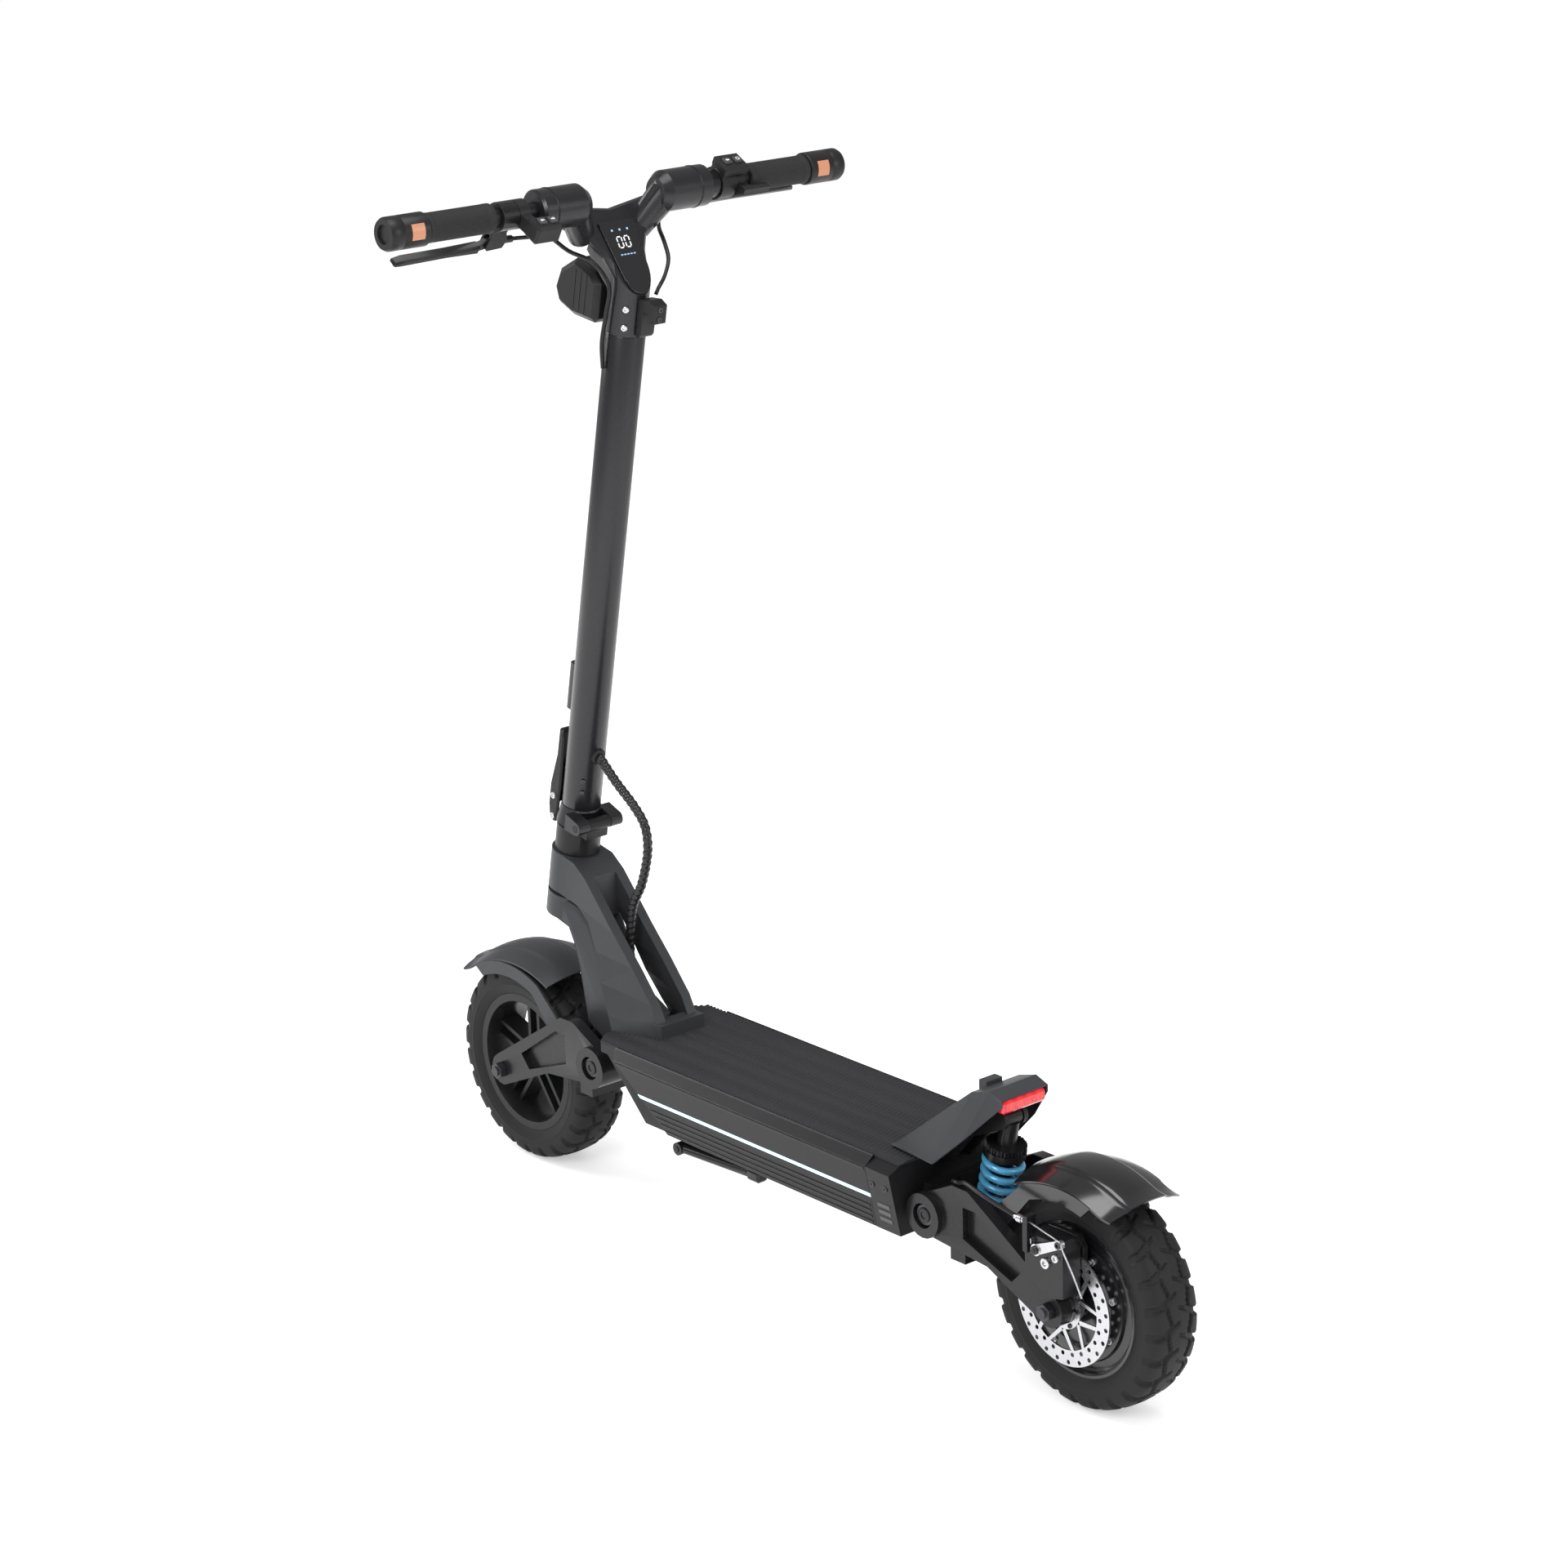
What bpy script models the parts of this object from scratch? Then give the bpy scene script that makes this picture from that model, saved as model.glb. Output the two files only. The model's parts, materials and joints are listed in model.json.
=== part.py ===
"""Electric kick scooter with sprung swing arms, a folding stem and a coil-over rear shock.

Metres, +Z up, +X forward, +Y to the rider's left. The origin lies on the ground, midway between the axles.
"""
import math

import bpy
import bmesh
from mathutils import Matrix, Vector

# Clearances
SEAT_GAP = 0.0003       # between pieces that rest on each other
RUN_GAP = 0.0004        # between a shaft and its bore
STEER_GAP = 0.0055      # between the frame neck and the fork that turns in front of it

# Wheels and axles
WHEELBASE = 0.968
TYRE_RADIUS = 0.1275
TYRE_WIDTH = 0.070
TYRE_SHOULDER = 0.012
RIM_RADIUS = 0.0885
RIM_WIDTH = 0.060
RIM_WALL = 0.010
SPOKE_COUNT = 5
SPOKE_WIDTH = 0.009
HUB_RADIUS = 0.021
AXLE_RADIUS = 0.006
NUT_RADIUS = 0.0105
NUT_LENGTH = 0.009
ROTOR_RADIUS = 0.0696
ROTOR_THICKNESS = 0.002
ROTOR_HOLES = 12
MOTOR_COVER_RADIUS = 0.083

# Swing arms
ARM_REACH = 0.188       # pivot to axle, along X
FRONT_PIVOT_HEIGHT = 0.184
REAR_PIVOT_HEIGHT = 0.180
ARM_BOSS_RADIUS = 0.026
ARM_THICKNESS = 0.015
ARM_TYRE_GAP = 0.0155   # tyre side to arm
REAR_BRAKE_ROOM = 0.004 # extra room for the disc at the rear
ARM_BOSS_PROUD = 0.008  # pivot boss outside the arm's face
BARREL_RADIUS = 0.027
BARREL_HALF = 0.030
PIVOT_PIN_RADIUS = 0.008
PIN_HEAD_RADIUS = 0.0125
PIN_HEAD_DEPTH = 0.010
ARM_BEND_UP = 0.046     # high bend of the leg above the pivot
ARM_END_RADIUS = 0.020
BRIDGE_DOWN = 0.050     # underside of the bridge below the pivot
BRIDGE_HEIGHT = 0.036
FENDER_GAP = 0.020      # fender crown outside the tyre
FENDER_CROWN = 0.012    # fender edge below its crown
FENDER_WALL = 0.003

# Deck
DECK_TOP = 0.2315
DECK_BOTTOM = 0.1475
DECK_HALF_WIDTH = 0.078
DECK_NOSE_SETBACK = 0.018   # nose behind the front pivot
DECK_TAIL_SETBACK = 0.029   # tail ahead of the rear pivot
CAP_LENGTH = 0.039          # end casting across the tail
TUB_WALL = 0.006
RAIL_LIP = 0.0066           # rail top outside the tub side
RAIL_BULGE = 0.0220         # widest point of the rail outside the tub side
RAIL_BEVEL_DROP = 0.0070    # widest point below the deck top
RAIL_FRONT_SETBACK = 0.056  # rail front end behind the nose
LED_DROP = 0.0440           # light strip below the deck top
LED_HEIGHT = 0.0042
LED_DEPTH = 0.0024
MAT_THICKNESS = 0.003
BATTERY_LENGTH = 0.330

# Steering head, stem and handlebar
HEAD_SETBACK = 0.0876       # top of the frame head behind the front axle
HEAD_HEIGHT = 0.4248
RAKE = math.radians(11.46)
HEAD_RADIUS = 0.031
HEAD_LENGTH = 0.052
STEERER_RADIUS = 0.0155
FORK_HALF_WIDTH = 0.027
LEG_THICKNESS = 0.016
LEG_HALF_GAP = 0.017
FOOT_HALF_WIDTH = 0.0546
COLLAR_RADIUS = 0.0275
COLLAR_HEIGHT = 0.034
FOLD_PIN_BACK = 0.0323      # fold pin behind the steering axis
FOLD_PIN_UP = 0.0467        # fold pin above the frame head
FOLD_PIN_RADIUS = 0.004
KNUCKLE_RADIUS = 0.0078
KNUCKLE_HALF = 0.0160
KNUCKLE_OUTER = 0.0335
STEM_RADIUS = 0.0235
STEM_WALL = 0.0026
STEM_FROM = 0.060           # lower end of the tube above the frame head
STEM_LENGTH = 0.605
SPIGOT_LENGTH = 0.045
BAR_RADIUS = 0.0111
BAR_HALF = 0.3268
BAR_FORWARD = 0.0319        # bar centre ahead of the steering axis
BAR_ABOVE_STEM = 0.1489     # bar centre above the top of the stem tube
POD_RADIUS = 0.024
POD_INNER = 0.052
POD_LENGTH = 0.071
BAR_END_LENGTH = 0.052
BAR_END_RADIUS = 0.019
GRIP_INNER = 0.1845          # inner end of the grip, outside the controls
GRIP_RADIUS = 0.0168
DISPLAY_TILT = math.radians(41)
PANEL_THICKNESS = 0.0022
LEVER_REACH = 0.047         # brake lever to bar centre

# Rear shock and cables
SHOCK_LEAN = 0.0258         # upper eye behind the lower eye
SHOCK_TOP_UP = 0.1128       # upper eye above the rear pivot
SHOCK_FOOT_SHARE = 0.562    # lower eye behind the rear pivot, as a share of the room ahead of the tyre
SHOCK_FOOT_DOWN = 0.022
SHOCK_EYE_RADIUS = 0.0095
SHOCK_EYE_HALF = 0.0100
SHOCK_PIN_RADIUS = 0.004
SPRING_RADIUS_SHARE = 0.3422    # of the room ahead of the tyre
SPRING_WIRE_SHARE = 0.0694      # of the room ahead of the tyre
SPRING_TURNS = 4
CABLE_RADIUS = 0.0025
HARNESS_RADIUS = 0.0055
HARNESS_RIB = 0.0007

# Places worked out from the sizes above
FRONT_AXLE = Vector((WHEELBASE / 2, 0.0, TYRE_RADIUS))
REAR_AXLE = Vector((-WHEELBASE / 2, 0.0, TYRE_RADIUS))
FRONT_PIVOT = Vector((FRONT_AXLE.x - ARM_REACH, 0.0, FRONT_PIVOT_HEIGHT))
REAR_PIVOT = Vector((REAR_AXLE.x + ARM_REACH, 0.0, REAR_PIVOT_HEIGHT))
NOSE_X = FRONT_PIVOT.x - DECK_NOSE_SETBACK
TAIL_X = REAR_PIVOT.x + DECK_TAIL_SETBACK
TUB_REAR_X = TAIL_X + CAP_LENGTH
ARM_INNER = TYRE_WIDTH / 2 + ARM_TYRE_GAP
REAR_ARM_INNER = ARM_INNER + REAR_BRAKE_ROOM
REAR_BARREL_HALF = REAR_ARM_INNER - 0.008
SHOCK_ROOM = ARM_REACH - TYRE_RADIUS
SHOCK_FOOT_BACK = SHOCK_FOOT_SHARE * SHOCK_ROOM
SHOCK_TOP_BACK = SHOCK_FOOT_BACK + SHOCK_LEAN
SPRING_RADIUS = SPRING_RADIUS_SHARE * SHOCK_ROOM
SPRING_WIRE = SPRING_WIRE_SHARE * SHOCK_ROOM
SHOCK_SLOT_HALF = SHOCK_EYE_HALF + 0.0012
ROTOR_Y = RIM_WIDTH / 2 * 1.2 + 0.0115
HEAD = Vector((FRONT_AXLE.x - HEAD_SETBACK, 0.0, HEAD_HEIGHT))
STEM = Matrix.Translation(HEAD) @ Matrix.Rotation(-RAKE, 4, "Y")
STEM_TOP = STEM_FROM + STEM_LENGTH
BAR = STEM @ Vector((BAR_FORWARD, 0.0, STEM_TOP + BAR_ABOVE_STEM))
FOLD_PIN = STEM @ Vector((-FOLD_PIN_BACK, 0.0, FOLD_PIN_UP))
SHOCK_TOP = REAR_PIVOT + Vector((-SHOCK_TOP_BACK, 0.0, SHOCK_TOP_UP))
SHOCK_FOOT = REAR_PIVOT + Vector((-SHOCK_FOOT_BACK, 0.0, -SHOCK_FOOT_DOWN))
MAT_TOP = DECK_TOP + SEAT_GAP + MAT_THICKNESS
POD_OUTER = POD_INNER + POD_LENGTH
GRIP_OUTER = BAR_HALF - BAR_END_LENGTH - SEAT_GAP

for leftover in list(bpy.data.objects):
    bpy.data.objects.remove(leftover, do_unlink=True)
parts = bpy.data.collections.new("electric_kick_scooter")
bpy.context.scene.collection.children.link(parts)


# Small modelling helpers
def as_object(bm, name="shape"):
    """Turn a bmesh into an object in the parts collection."""
    mesh = bpy.data.meshes.new(name)
    bm.to_mesh(mesh)
    bm.free()
    shape = bpy.data.objects.new(name, mesh)
    parts.objects.link(shape)
    return shape


def settled(shape):
    """Bake modifiers, or a curve, into a welded mesh with its place applied."""
    bpy.context.view_layer.update()
    graph = bpy.context.evaluated_depsgraph_get()
    mesh = bpy.data.meshes.new_from_object(shape.evaluated_get(graph))
    mesh.transform(shape.matrix_world)
    bm = bmesh.new()
    bm.from_mesh(mesh)
    bmesh.ops.remove_doubles(bm, verts=bm.verts, dist=1e-6)
    bmesh.ops.recalc_face_normals(bm, faces=bm.faces)
    bpy.data.objects.remove(shape, do_unlink=True)
    bpy.data.meshes.remove(mesh)
    return as_object(bm)


def box(low, high, place=Matrix()):
    """A box between two corners."""
    low, high = Vector(low), Vector(high)
    bm = bmesh.new()
    spread = Matrix.Diagonal((*(high - low), 1.0))
    bmesh.ops.create_cube(bm, size=1.0, matrix=place @ Matrix.Translation((low + high) / 2) @ spread)
    return as_object(bm)


def rod(start, end, radius, sides=20, end_radius=None, place=Matrix()):
    """A cylinder or a cone between two points."""
    start, end = Vector(start), Vector(end)
    turn = (end - start).to_track_quat("Z", "Y").to_matrix().to_4x4()
    bm = bmesh.new()
    bmesh.ops.create_cone(
        bm, cap_ends=True, segments=sides, radius1=radius,
        radius2=radius if end_radius is None else end_radius, depth=(end - start).length,
        matrix=place @ Matrix.Translation((start + end) / 2) @ turn)
    return as_object(bm)


def cross_rod(centre, half, radius, sides=20, place=Matrix()):
    """A cylinder along Y, centred on a point."""
    reach = Vector((0.0, half, 0.0))
    return rod(Vector(centre) - reach, Vector(centre) + reach, radius, sides, place=place)


# How an outline's own axes lie when its thickness runs along X, Y or Z
LAY = {
    "X": (Matrix(((0, 0, 1, 0), (1, 0, 0, 0), (0, 1, 0, 0), (0, 0, 0, 1))), Vector((1.0, 0.0, 0.0))),
    "Y": (Matrix.Rotation(math.radians(90), 4, "X"), Vector((0.0, 1.0, 0.0))),
    "Z": (Matrix(), Vector((0.0, 0.0, 1.0))),
}


def plate(outline, low, high, place=Matrix(), along="Y"):
    """A flat outline with thickness from low to high: (x, z) along Y, (x, y) along Z or (y, z) along X."""
    lay, direction = LAY[along]
    curve = bpy.data.curves.new("outline", "CURVE")
    curve.dimensions = "2D"
    curve.fill_mode = "BOTH"
    curve.extrude = (high - low) / 2
    spline = curve.splines.new("POLY")
    spline.points.add(len(outline) - 1)
    for point, (u, v) in zip(spline.points, outline):
        point.co = (u, v, 0.0, 1.0)
    spline.use_cyclic_u = True
    shape = bpy.data.objects.new("outline", curve)
    parts.objects.link(shape)
    shape.matrix_world = place @ Matrix.Translation(direction * (low + high) / 2) @ lay
    return settled(shape)


def turned(profile, sides, place=Matrix(), ring=False):
    """A profile of (radius, height) points turned about Z: a ring if closed, else a solid on the axis."""
    bm = bmesh.new()
    verts = [bm.verts.new((radius, 0.0, height)) for radius, height in profile]
    pairs = list(zip(verts, verts[1:]))
    if ring:
        pairs.append((verts[-1], verts[0]))
    for pair in pairs:
        bm.edges.new(pair)
    shape = as_object(bm)
    screw = shape.modifiers.new("turn", "SCREW")
    screw.steps = screw.render_steps = sides
    screw.use_merge_vertices = True
    screw.merge_threshold = 1e-5
    shape.matrix_world = place
    return settled(shape)


def tube(route, radius, resolution=2, radii=None):
    """A round tube along a list of points, with an own radius factor at each point if given."""
    curve = bpy.data.curves.new("route", "CURVE")
    curve.dimensions = "3D"
    curve.bevel_depth = radius
    curve.bevel_resolution = resolution
    curve.use_fill_caps = True
    spline = curve.splines.new("POLY")
    spline.points.add(len(route) - 1)
    for index, (point, where) in enumerate(zip(spline.points, route)):
        point.co = (*where, 1.0)
        point.radius = radii[index] if radii else 1.0
    shape = bpy.data.objects.new("route", curve)
    parts.objects.link(shape)
    return settled(shape)


def smooth_route(knots, step):
    """Points about one step apart on a smooth curve through the knots."""
    knots = [Vector(knot) for knot in knots]
    ends = [2 * knots[0] - knots[1]] + knots + [2 * knots[-1] - knots[-2]]
    route = []
    for before, here, after, beyond in zip(ends, ends[1:], ends[2:], ends[3:]):
        count = max(1, round((after - here).length / step))
        for index in range(count):
            t = index / count
            route.append(0.5 * (2 * here + (after - before) * t
                                + (2 * before - 5 * here + 4 * after - beyond) * t ** 2
                                + (3 * here - before - 3 * after + beyond) * t ** 3))
    route.append(knots[-1])
    return route


def boolean(shape, tools, operation):
    """Union, or difference, of a shape with each tool in turn. The tools are used up."""
    for tool in tools:
        modifier = shape.modifiers.new("cut", "BOOLEAN")
        modifier.operation = operation
        modifier.object = tool
        shape = settled(shape)
        bpy.data.objects.remove(tool, do_unlink=True)
    return shape


def fused(shape, *tools):
    return boolean(shape, tools, "UNION")


def carved(shape, *tools):
    return boolean(shape, tools, "DIFFERENCE")


def softened(shape, width, segments=1, angle=35):
    """Round the sharp edges of a shape, once its flat sides are whole faces."""
    flats = shape.modifiers.new("flats", "DECIMATE")
    flats.decimate_type = "DISSOLVE"
    flats.angle_limit = math.radians(1)
    bevel = shape.modifiers.new("edge", "BEVEL")
    bevel.width = width
    bevel.segments = segments
    bevel.limit_method = "ANGLE"
    bevel.angle_limit = math.radians(angle)
    return settled(shape)


def arc(centre, radius, start, end, count):
    """Points on an arc, with angles in degrees from the first axis towards the second."""
    points = []
    for index in range(count):
        angle = math.radians(start + (end - start) * index / (count - 1))
        points.append((centre[0] + radius * math.cos(angle), centre[1] + radius * math.sin(angle)))
    return points


def stem_point(forward, left, up):
    """A place in the stem's own frame: forward of its axis, to the left, and up from the frame head."""
    return STEM @ Vector((forward, left, up))


# Finishes
def finish(name, colour, roughness, metallic):
    material = bpy.data.materials.new(name)
    material.use_nodes = True
    shader = material.node_tree.nodes["Principled BSDF"]
    shader.inputs["Base Color"].default_value = (*colour, 1.0)
    shader.inputs["Roughness"].default_value = roughness
    shader.inputs["Metallic"].default_value = metallic
    return material


GRAPHITE = finish("graphite_paint", (0.075, 0.076, 0.082), 0.48, 0.25)
BLACK_METAL = finish("black_metal", (0.022, 0.022, 0.024), 0.36, 0.35)
STEM_PAINT = finish("stem_paint", (0.026, 0.026, 0.030), 0.42, 0.30)
BLACK_PLASTIC = finish("black_plastic", (0.020, 0.020, 0.022), 0.50, 0.0)
GLOSS_PANEL = finish("gloss_panel", (0.005, 0.005, 0.006), 0.08, 0.0)
RUBBER = finish("rubber", (0.022, 0.022, 0.023), 0.78, 0.0)
TYRE_RUBBER = finish("tyre_rubber", (0.026, 0.026, 0.027), 0.82, 0.0)
STEEL = finish("bright_steel", (0.62, 0.62, 0.63), 0.28, 1.0)
SPRING_BLUE = finish("spring_blue", (0.065, 0.36, 0.62), 0.32, 0.0)
LIGHT_STRIP = finish("light_strip", (0.62, 0.93, 1.0), 0.30, 0.0)
RED_LENS = finish("red_lens", (0.75, 0.04, 0.07), 0.18, 0.0)
BATTERY_WRAP = finish("battery_wrap", (0.05, 0.10, 0.22), 0.55, 0.0)

# Bodies that move as one, each with an empty on its joint's axis
bodies = {}


def body(name, where, parent=None):
    empty = bpy.data.objects.new("axis_" + name, None)
    parts.objects.link(empty)
    empty.location = where
    bpy.context.view_layer.update()
    if parent:
        empty.parent = bodies[parent]
        empty.matrix_parent_inverse = bodies[parent].matrix_world.inverted()
        bpy.context.view_layer.update()
    bodies[name] = empty


def add(name, shape, material, carrier):
    """Name a finished shape, give it its finish and hang it on its body."""
    shape.name = name
    shape.data.name = name
    shape.data.materials.clear()
    shape.data.materials.append(material)
    for polygon in shape.data.polygons:
        polygon.use_smooth = True
    shape.data.set_sharp_from_angle(angle=math.radians(35))
    shape.parent = bodies[carrier]
    shape.matrix_parent_inverse = bodies[carrier].matrix_world.inverted()
    return shape


body("frame", (0.0, 0.0, 0.0))
body("steering", HEAD, "frame")
body("stem", FOLD_PIN, "steering")
body("front_arm", FRONT_PIVOT, "steering")
body("front_wheel", FRONT_AXLE, "front_arm")
body("rear_arm", REAR_PIVOT, "frame")
body("rear_wheel", REAR_AXLE, "rear_arm")
body("shock", SHOCK_TOP, "frame")
body("shock_slide", SHOCK_FOOT, "shock")


# Wheels
ACROSS = Matrix.Rotation(math.radians(-90), 4, "X")     # turns a shape's Z axis onto +Y


def wheel_place(axle):
    return Matrix.Translation(axle) @ ACROSS


def tyre(axle):
    """A ring with a flat tread, round shoulders and a bore that sits on the rim."""
    half = TYRE_WIDTH / 2
    bore = RIM_RADIUS + SEAT_GAP
    seat = RIM_WIDTH / 2
    crown = TYRE_RADIUS - 0.45 * TYRE_SHOULDER
    side = (bore + TYRE_RADIUS) / 2
    upper = [(TYRE_RADIUS, half * 0.35), (crown, half - 0.45 * TYRE_SHOULDER), (side + 0.002, half),
             (bore + 0.004, seat + 0.002), (bore, seat)]
    lower = [(radius, -height) for radius, height in reversed(upper)]
    return turned([(TYRE_RADIUS, 0.0)] + upper + lower, 48, wheel_place(axle), ring=True)


def front_rim():
    """A cast rim: barrel with two flanges, a hub and pairs of thin spokes."""
    half = RIM_WIDTH / 2
    lip = RIM_RADIUS - RIM_WALL
    barrel = turned([(RIM_RADIUS, half), (RIM_RADIUS, -half), (lip, -half), (lip - 0.004, -half * 0.6),
                     (lip - 0.004, half * 0.6), (lip, half)], 48, wheel_place(FRONT_AXLE), ring=True)
    hub = cross_rod(FRONT_AXLE, ARM_INNER - SEAT_GAP, HUB_RADIUS * 0.62)
    hub = fused(hub, cross_rod(FRONT_AXLE, half * 0.7, HUB_RADIUS))
    spoke_half = half * 0.45
    for index in range(SPOKE_COUNT):
        turn = Matrix.Rotation(math.tau * index / SPOKE_COUNT, 4, "Y")
        for side in (-1, 1):
            offset = side * SPOKE_WIDTH
            spoke = box((offset - SPOKE_WIDTH * 0.3, -spoke_half, HUB_RADIUS * 0.5),
                        (offset + SPOKE_WIDTH * 0.3, spoke_half, lip - 0.002),
                        Matrix.Translation(FRONT_AXLE) @ turn)
            hub = fused(hub, spoke)
    return carved(fused(barrel, hub), cross_rod(FRONT_AXLE, ARM_INNER + 0.01, AXLE_RADIUS + RUN_GAP))


def hub_motor():
    """The rear rim with the motor cast into it: domed covers and a stub on each side."""
    half = RIM_WIDTH / 2
    stub = MOTOR_COVER_RADIUS * 0.24
    bore = AXLE_RADIUS + RUN_GAP
    right = REAR_ARM_INNER - SEAT_GAP
    profile = [(bore, right), (stub, right), (stub, half * 1.2), (MOTOR_COVER_RADIUS * 0.72, half * 1.1),
               (MOTOR_COVER_RADIUS, half * 0.8), (RIM_RADIUS - 0.003, half * 0.8), (RIM_RADIUS - 0.003, half),
               (RIM_RADIUS, half)]
    mirrored = [(radius, -height) for radius, height in reversed(profile)]
    return turned(profile + mirrored, 48, wheel_place(REAR_AXLE), ring=True)


def brake_rotor():
    """A slotted and drilled disc on a short carrier, on the left of the rear hub."""
    seat = ROTOR_Y - ROTOR_THICKNESS / 2
    disc = cross_rod(REAR_AXLE + Vector((0.0, ROTOR_Y, 0.0)), ROTOR_THICKNESS / 2, ROTOR_RADIUS, 48)
    cuts = [cross_rod(REAR_AXLE + Vector((0.0, seat, 0.0)), 0.02, MOTOR_COVER_RADIUS * 0.24 + RUN_GAP)]
    band = ROTOR_RADIUS * 0.76
    for index in range(6):
        turn = Matrix.Translation(REAR_AXLE) @ Matrix.Rotation(math.tau * index / 6, 4, "Y")
        window = [(-0.3 * band, 0.80 * band), (0.40 * band, 0.86 * band), (0.05 * band, 0.48 * band)]
        cuts.append(plate(window, seat - 0.01, seat + 0.02, turn))
    for index in range(ROTOR_HOLES):
        angle = math.tau * (index + 0.5) / ROTOR_HOLES
        row = ROTOR_RADIUS * (0.86 if index % 2 else 0.93)
        hole = REAR_AXLE + Vector((row * math.sin(angle), ROTOR_Y, row * math.cos(angle)))
        cuts.append(cross_rod(hole, 0.02, 0.0025, 8))
    return carved(disc, *cuts)


def axle(where, inner):
    """A through axle with a nut outside each arm."""
    outer = inner + ARM_THICKNESS + SEAT_GAP
    shape = cross_rod(where, outer + NUT_LENGTH * 1.3, AXLE_RADIUS)
    for side in (-1, 1):
        nut = where + Vector((0.0, side * (outer + NUT_LENGTH / 2), 0.0))
        shape = fused(shape, cross_rod(nut, NUT_LENGTH / 2, NUT_RADIUS, 6))
    return shape


add("front_tyre", tyre(FRONT_AXLE), TYRE_RUBBER, "front_wheel")
add("front_rim", front_rim(), BLACK_METAL, "front_wheel")
add("rear_tyre", tyre(REAR_AXLE), TYRE_RUBBER, "rear_wheel")
add("hub_motor", hub_motor(), BLACK_METAL, "rear_wheel")
add("brake_rotor", brake_rotor(), STEEL, "rear_wheel")
add("front_axle", axle(FRONT_AXLE, ARM_INNER), BLACK_METAL, "front_arm")
add("rear_axle", axle(REAR_AXLE, REAR_ARM_INNER), BLACK_METAL, "rear_arm")


# Swing arms: two pocketed legs, pivot bosses and a low bridge, open to the tyre
def arm_outline(pivot, where, toward):
    """Leg outline from the pivot boss to the axle end, with a high bend just past the boss."""
    span = abs(where.x - pivot.x)
    drop = where.z - pivot.z
    outline = arc((0.0, 0.0), ARM_BOSS_RADIUS * 0.94, -95, -230, 7)
    outline += [(span * 0.21, ARM_BEND_UP), (span * 0.34, ARM_BEND_UP)]
    outline += arc((span, drop), ARM_END_RADIUS, 62, -100, 7)
    outline += [(span * 0.5, drop * 0.62)]
    return [(pivot.x + toward * u, pivot.z + v) for u, v in outline]


def swing_arm(pivot, where, inner, barrel_half, toward):
    """Both legs with their bosses, joined by a bridge under the pivot."""
    span = abs(where.x - pivot.x)
    drop = where.z - pivot.z
    outer = inner + ARM_THICKNESS
    boss_end = outer + ARM_BOSS_PROUD
    pocket = [(span * 0.30, ARM_BEND_UP * 0.55), (span * 0.40, ARM_BEND_UP * 0.55),
              (span * 0.78, drop * 0.42), (span * 0.70, drop * 0.72), (span * 0.30, drop * 0.22)]
    pocket = [(pivot.x + toward * u, pivot.z + v) for u, v in pocket]
    bridge_ends = sorted((pivot.x + toward * span * 0.12, pivot.x + toward * span * 0.245))
    shape = box((bridge_ends[0], -inner - 0.002, pivot.z - BRIDGE_DOWN),
                (bridge_ends[1], inner + 0.002, pivot.z - BRIDGE_DOWN + BRIDGE_HEIGHT))
    shape = carved(shape, cross_rod(pivot, barrel_half + SEAT_GAP, BARREL_RADIUS + 0.0015))
    for side in (-1, 1):
        low, high = sorted((side * inner, side * outer))
        leg = plate(arm_outline(pivot, where, toward), low, high)
        boss = [pivot + Vector((0.0, side * reach, 0.0)) for reach in (barrel_half + SEAT_GAP, boss_end)]
        leg = fused(leg, rod(*boss, ARM_BOSS_RADIUS))
        low, high = sorted((side * (inner + ARM_THICKNESS * 0.4), side * (outer + 0.001)))
        leg = carved(leg, plate(pocket, low, high))
        head = [pivot + Vector((0.0, side * reach, 0.0)) for reach in (boss_end - PIN_HEAD_DEPTH,
                boss_end + 0.01)]
        leg = carved(leg, rod(*head, PIN_HEAD_RADIUS + 0.002))
        shape = fused(shape, leg)
    return carved(shape, cross_rod(pivot, boss_end + 0.01, PIVOT_PIN_RADIUS + RUN_GAP),
                  cross_rod(where, boss_end + 0.01, AXLE_RADIUS + RUN_GAP))


def pivot_pin(pivot, inner):
    """The hinge pin, with a head sunk in each boss."""
    end = inner + ARM_THICKNESS + ARM_BOSS_PROUD - PIN_HEAD_DEPTH + SEAT_GAP
    shape = cross_rod(pivot, end + 0.002, PIVOT_PIN_RADIUS)
    for side in (-1, 1):
        ends = [pivot + Vector((0.0, side * reach, 0.0)) for reach in (end, end + PIN_HEAD_DEPTH * 0.6)]
        shape = fused(shape, rod(*ends, PIN_HEAD_RADIUS))
    return shape


front_arm = swing_arm(FRONT_PIVOT, FRONT_AXLE, ARM_INNER, BARREL_HALF, 1)
add("front_swing_arm", front_arm, BLACK_METAL, "front_arm")
add("front_pivot_pin", pivot_pin(FRONT_PIVOT, ARM_INNER), BLACK_METAL, "steering")

rear_arm = swing_arm(REAR_PIVOT, REAR_AXLE, REAR_ARM_INNER, REAR_BARREL_HALF, -1)
eye_slot = box((SHOCK_FOOT.x - 0.05, -SHOCK_SLOT_HALF, SHOCK_FOOT.z - SHOCK_EYE_RADIUS - 0.004),
               (SHOCK_FOOT.x + 0.05, SHOCK_SLOT_HALF, SHOCK_FOOT.z + 0.06))
rear_arm = carved(rear_arm, eye_slot)
rear_arm = fused(rear_arm, cross_rod(SHOCK_FOOT, SHOCK_SLOT_HALF + 0.003, SHOCK_PIN_RADIUS, 16))
add("rear_swing_arm", rear_arm, BLACK_METAL, "rear_arm")
add("rear_pivot_pin", pivot_pin(REAR_PIVOT, REAR_ARM_INNER), BLACK_METAL, "frame")


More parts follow.
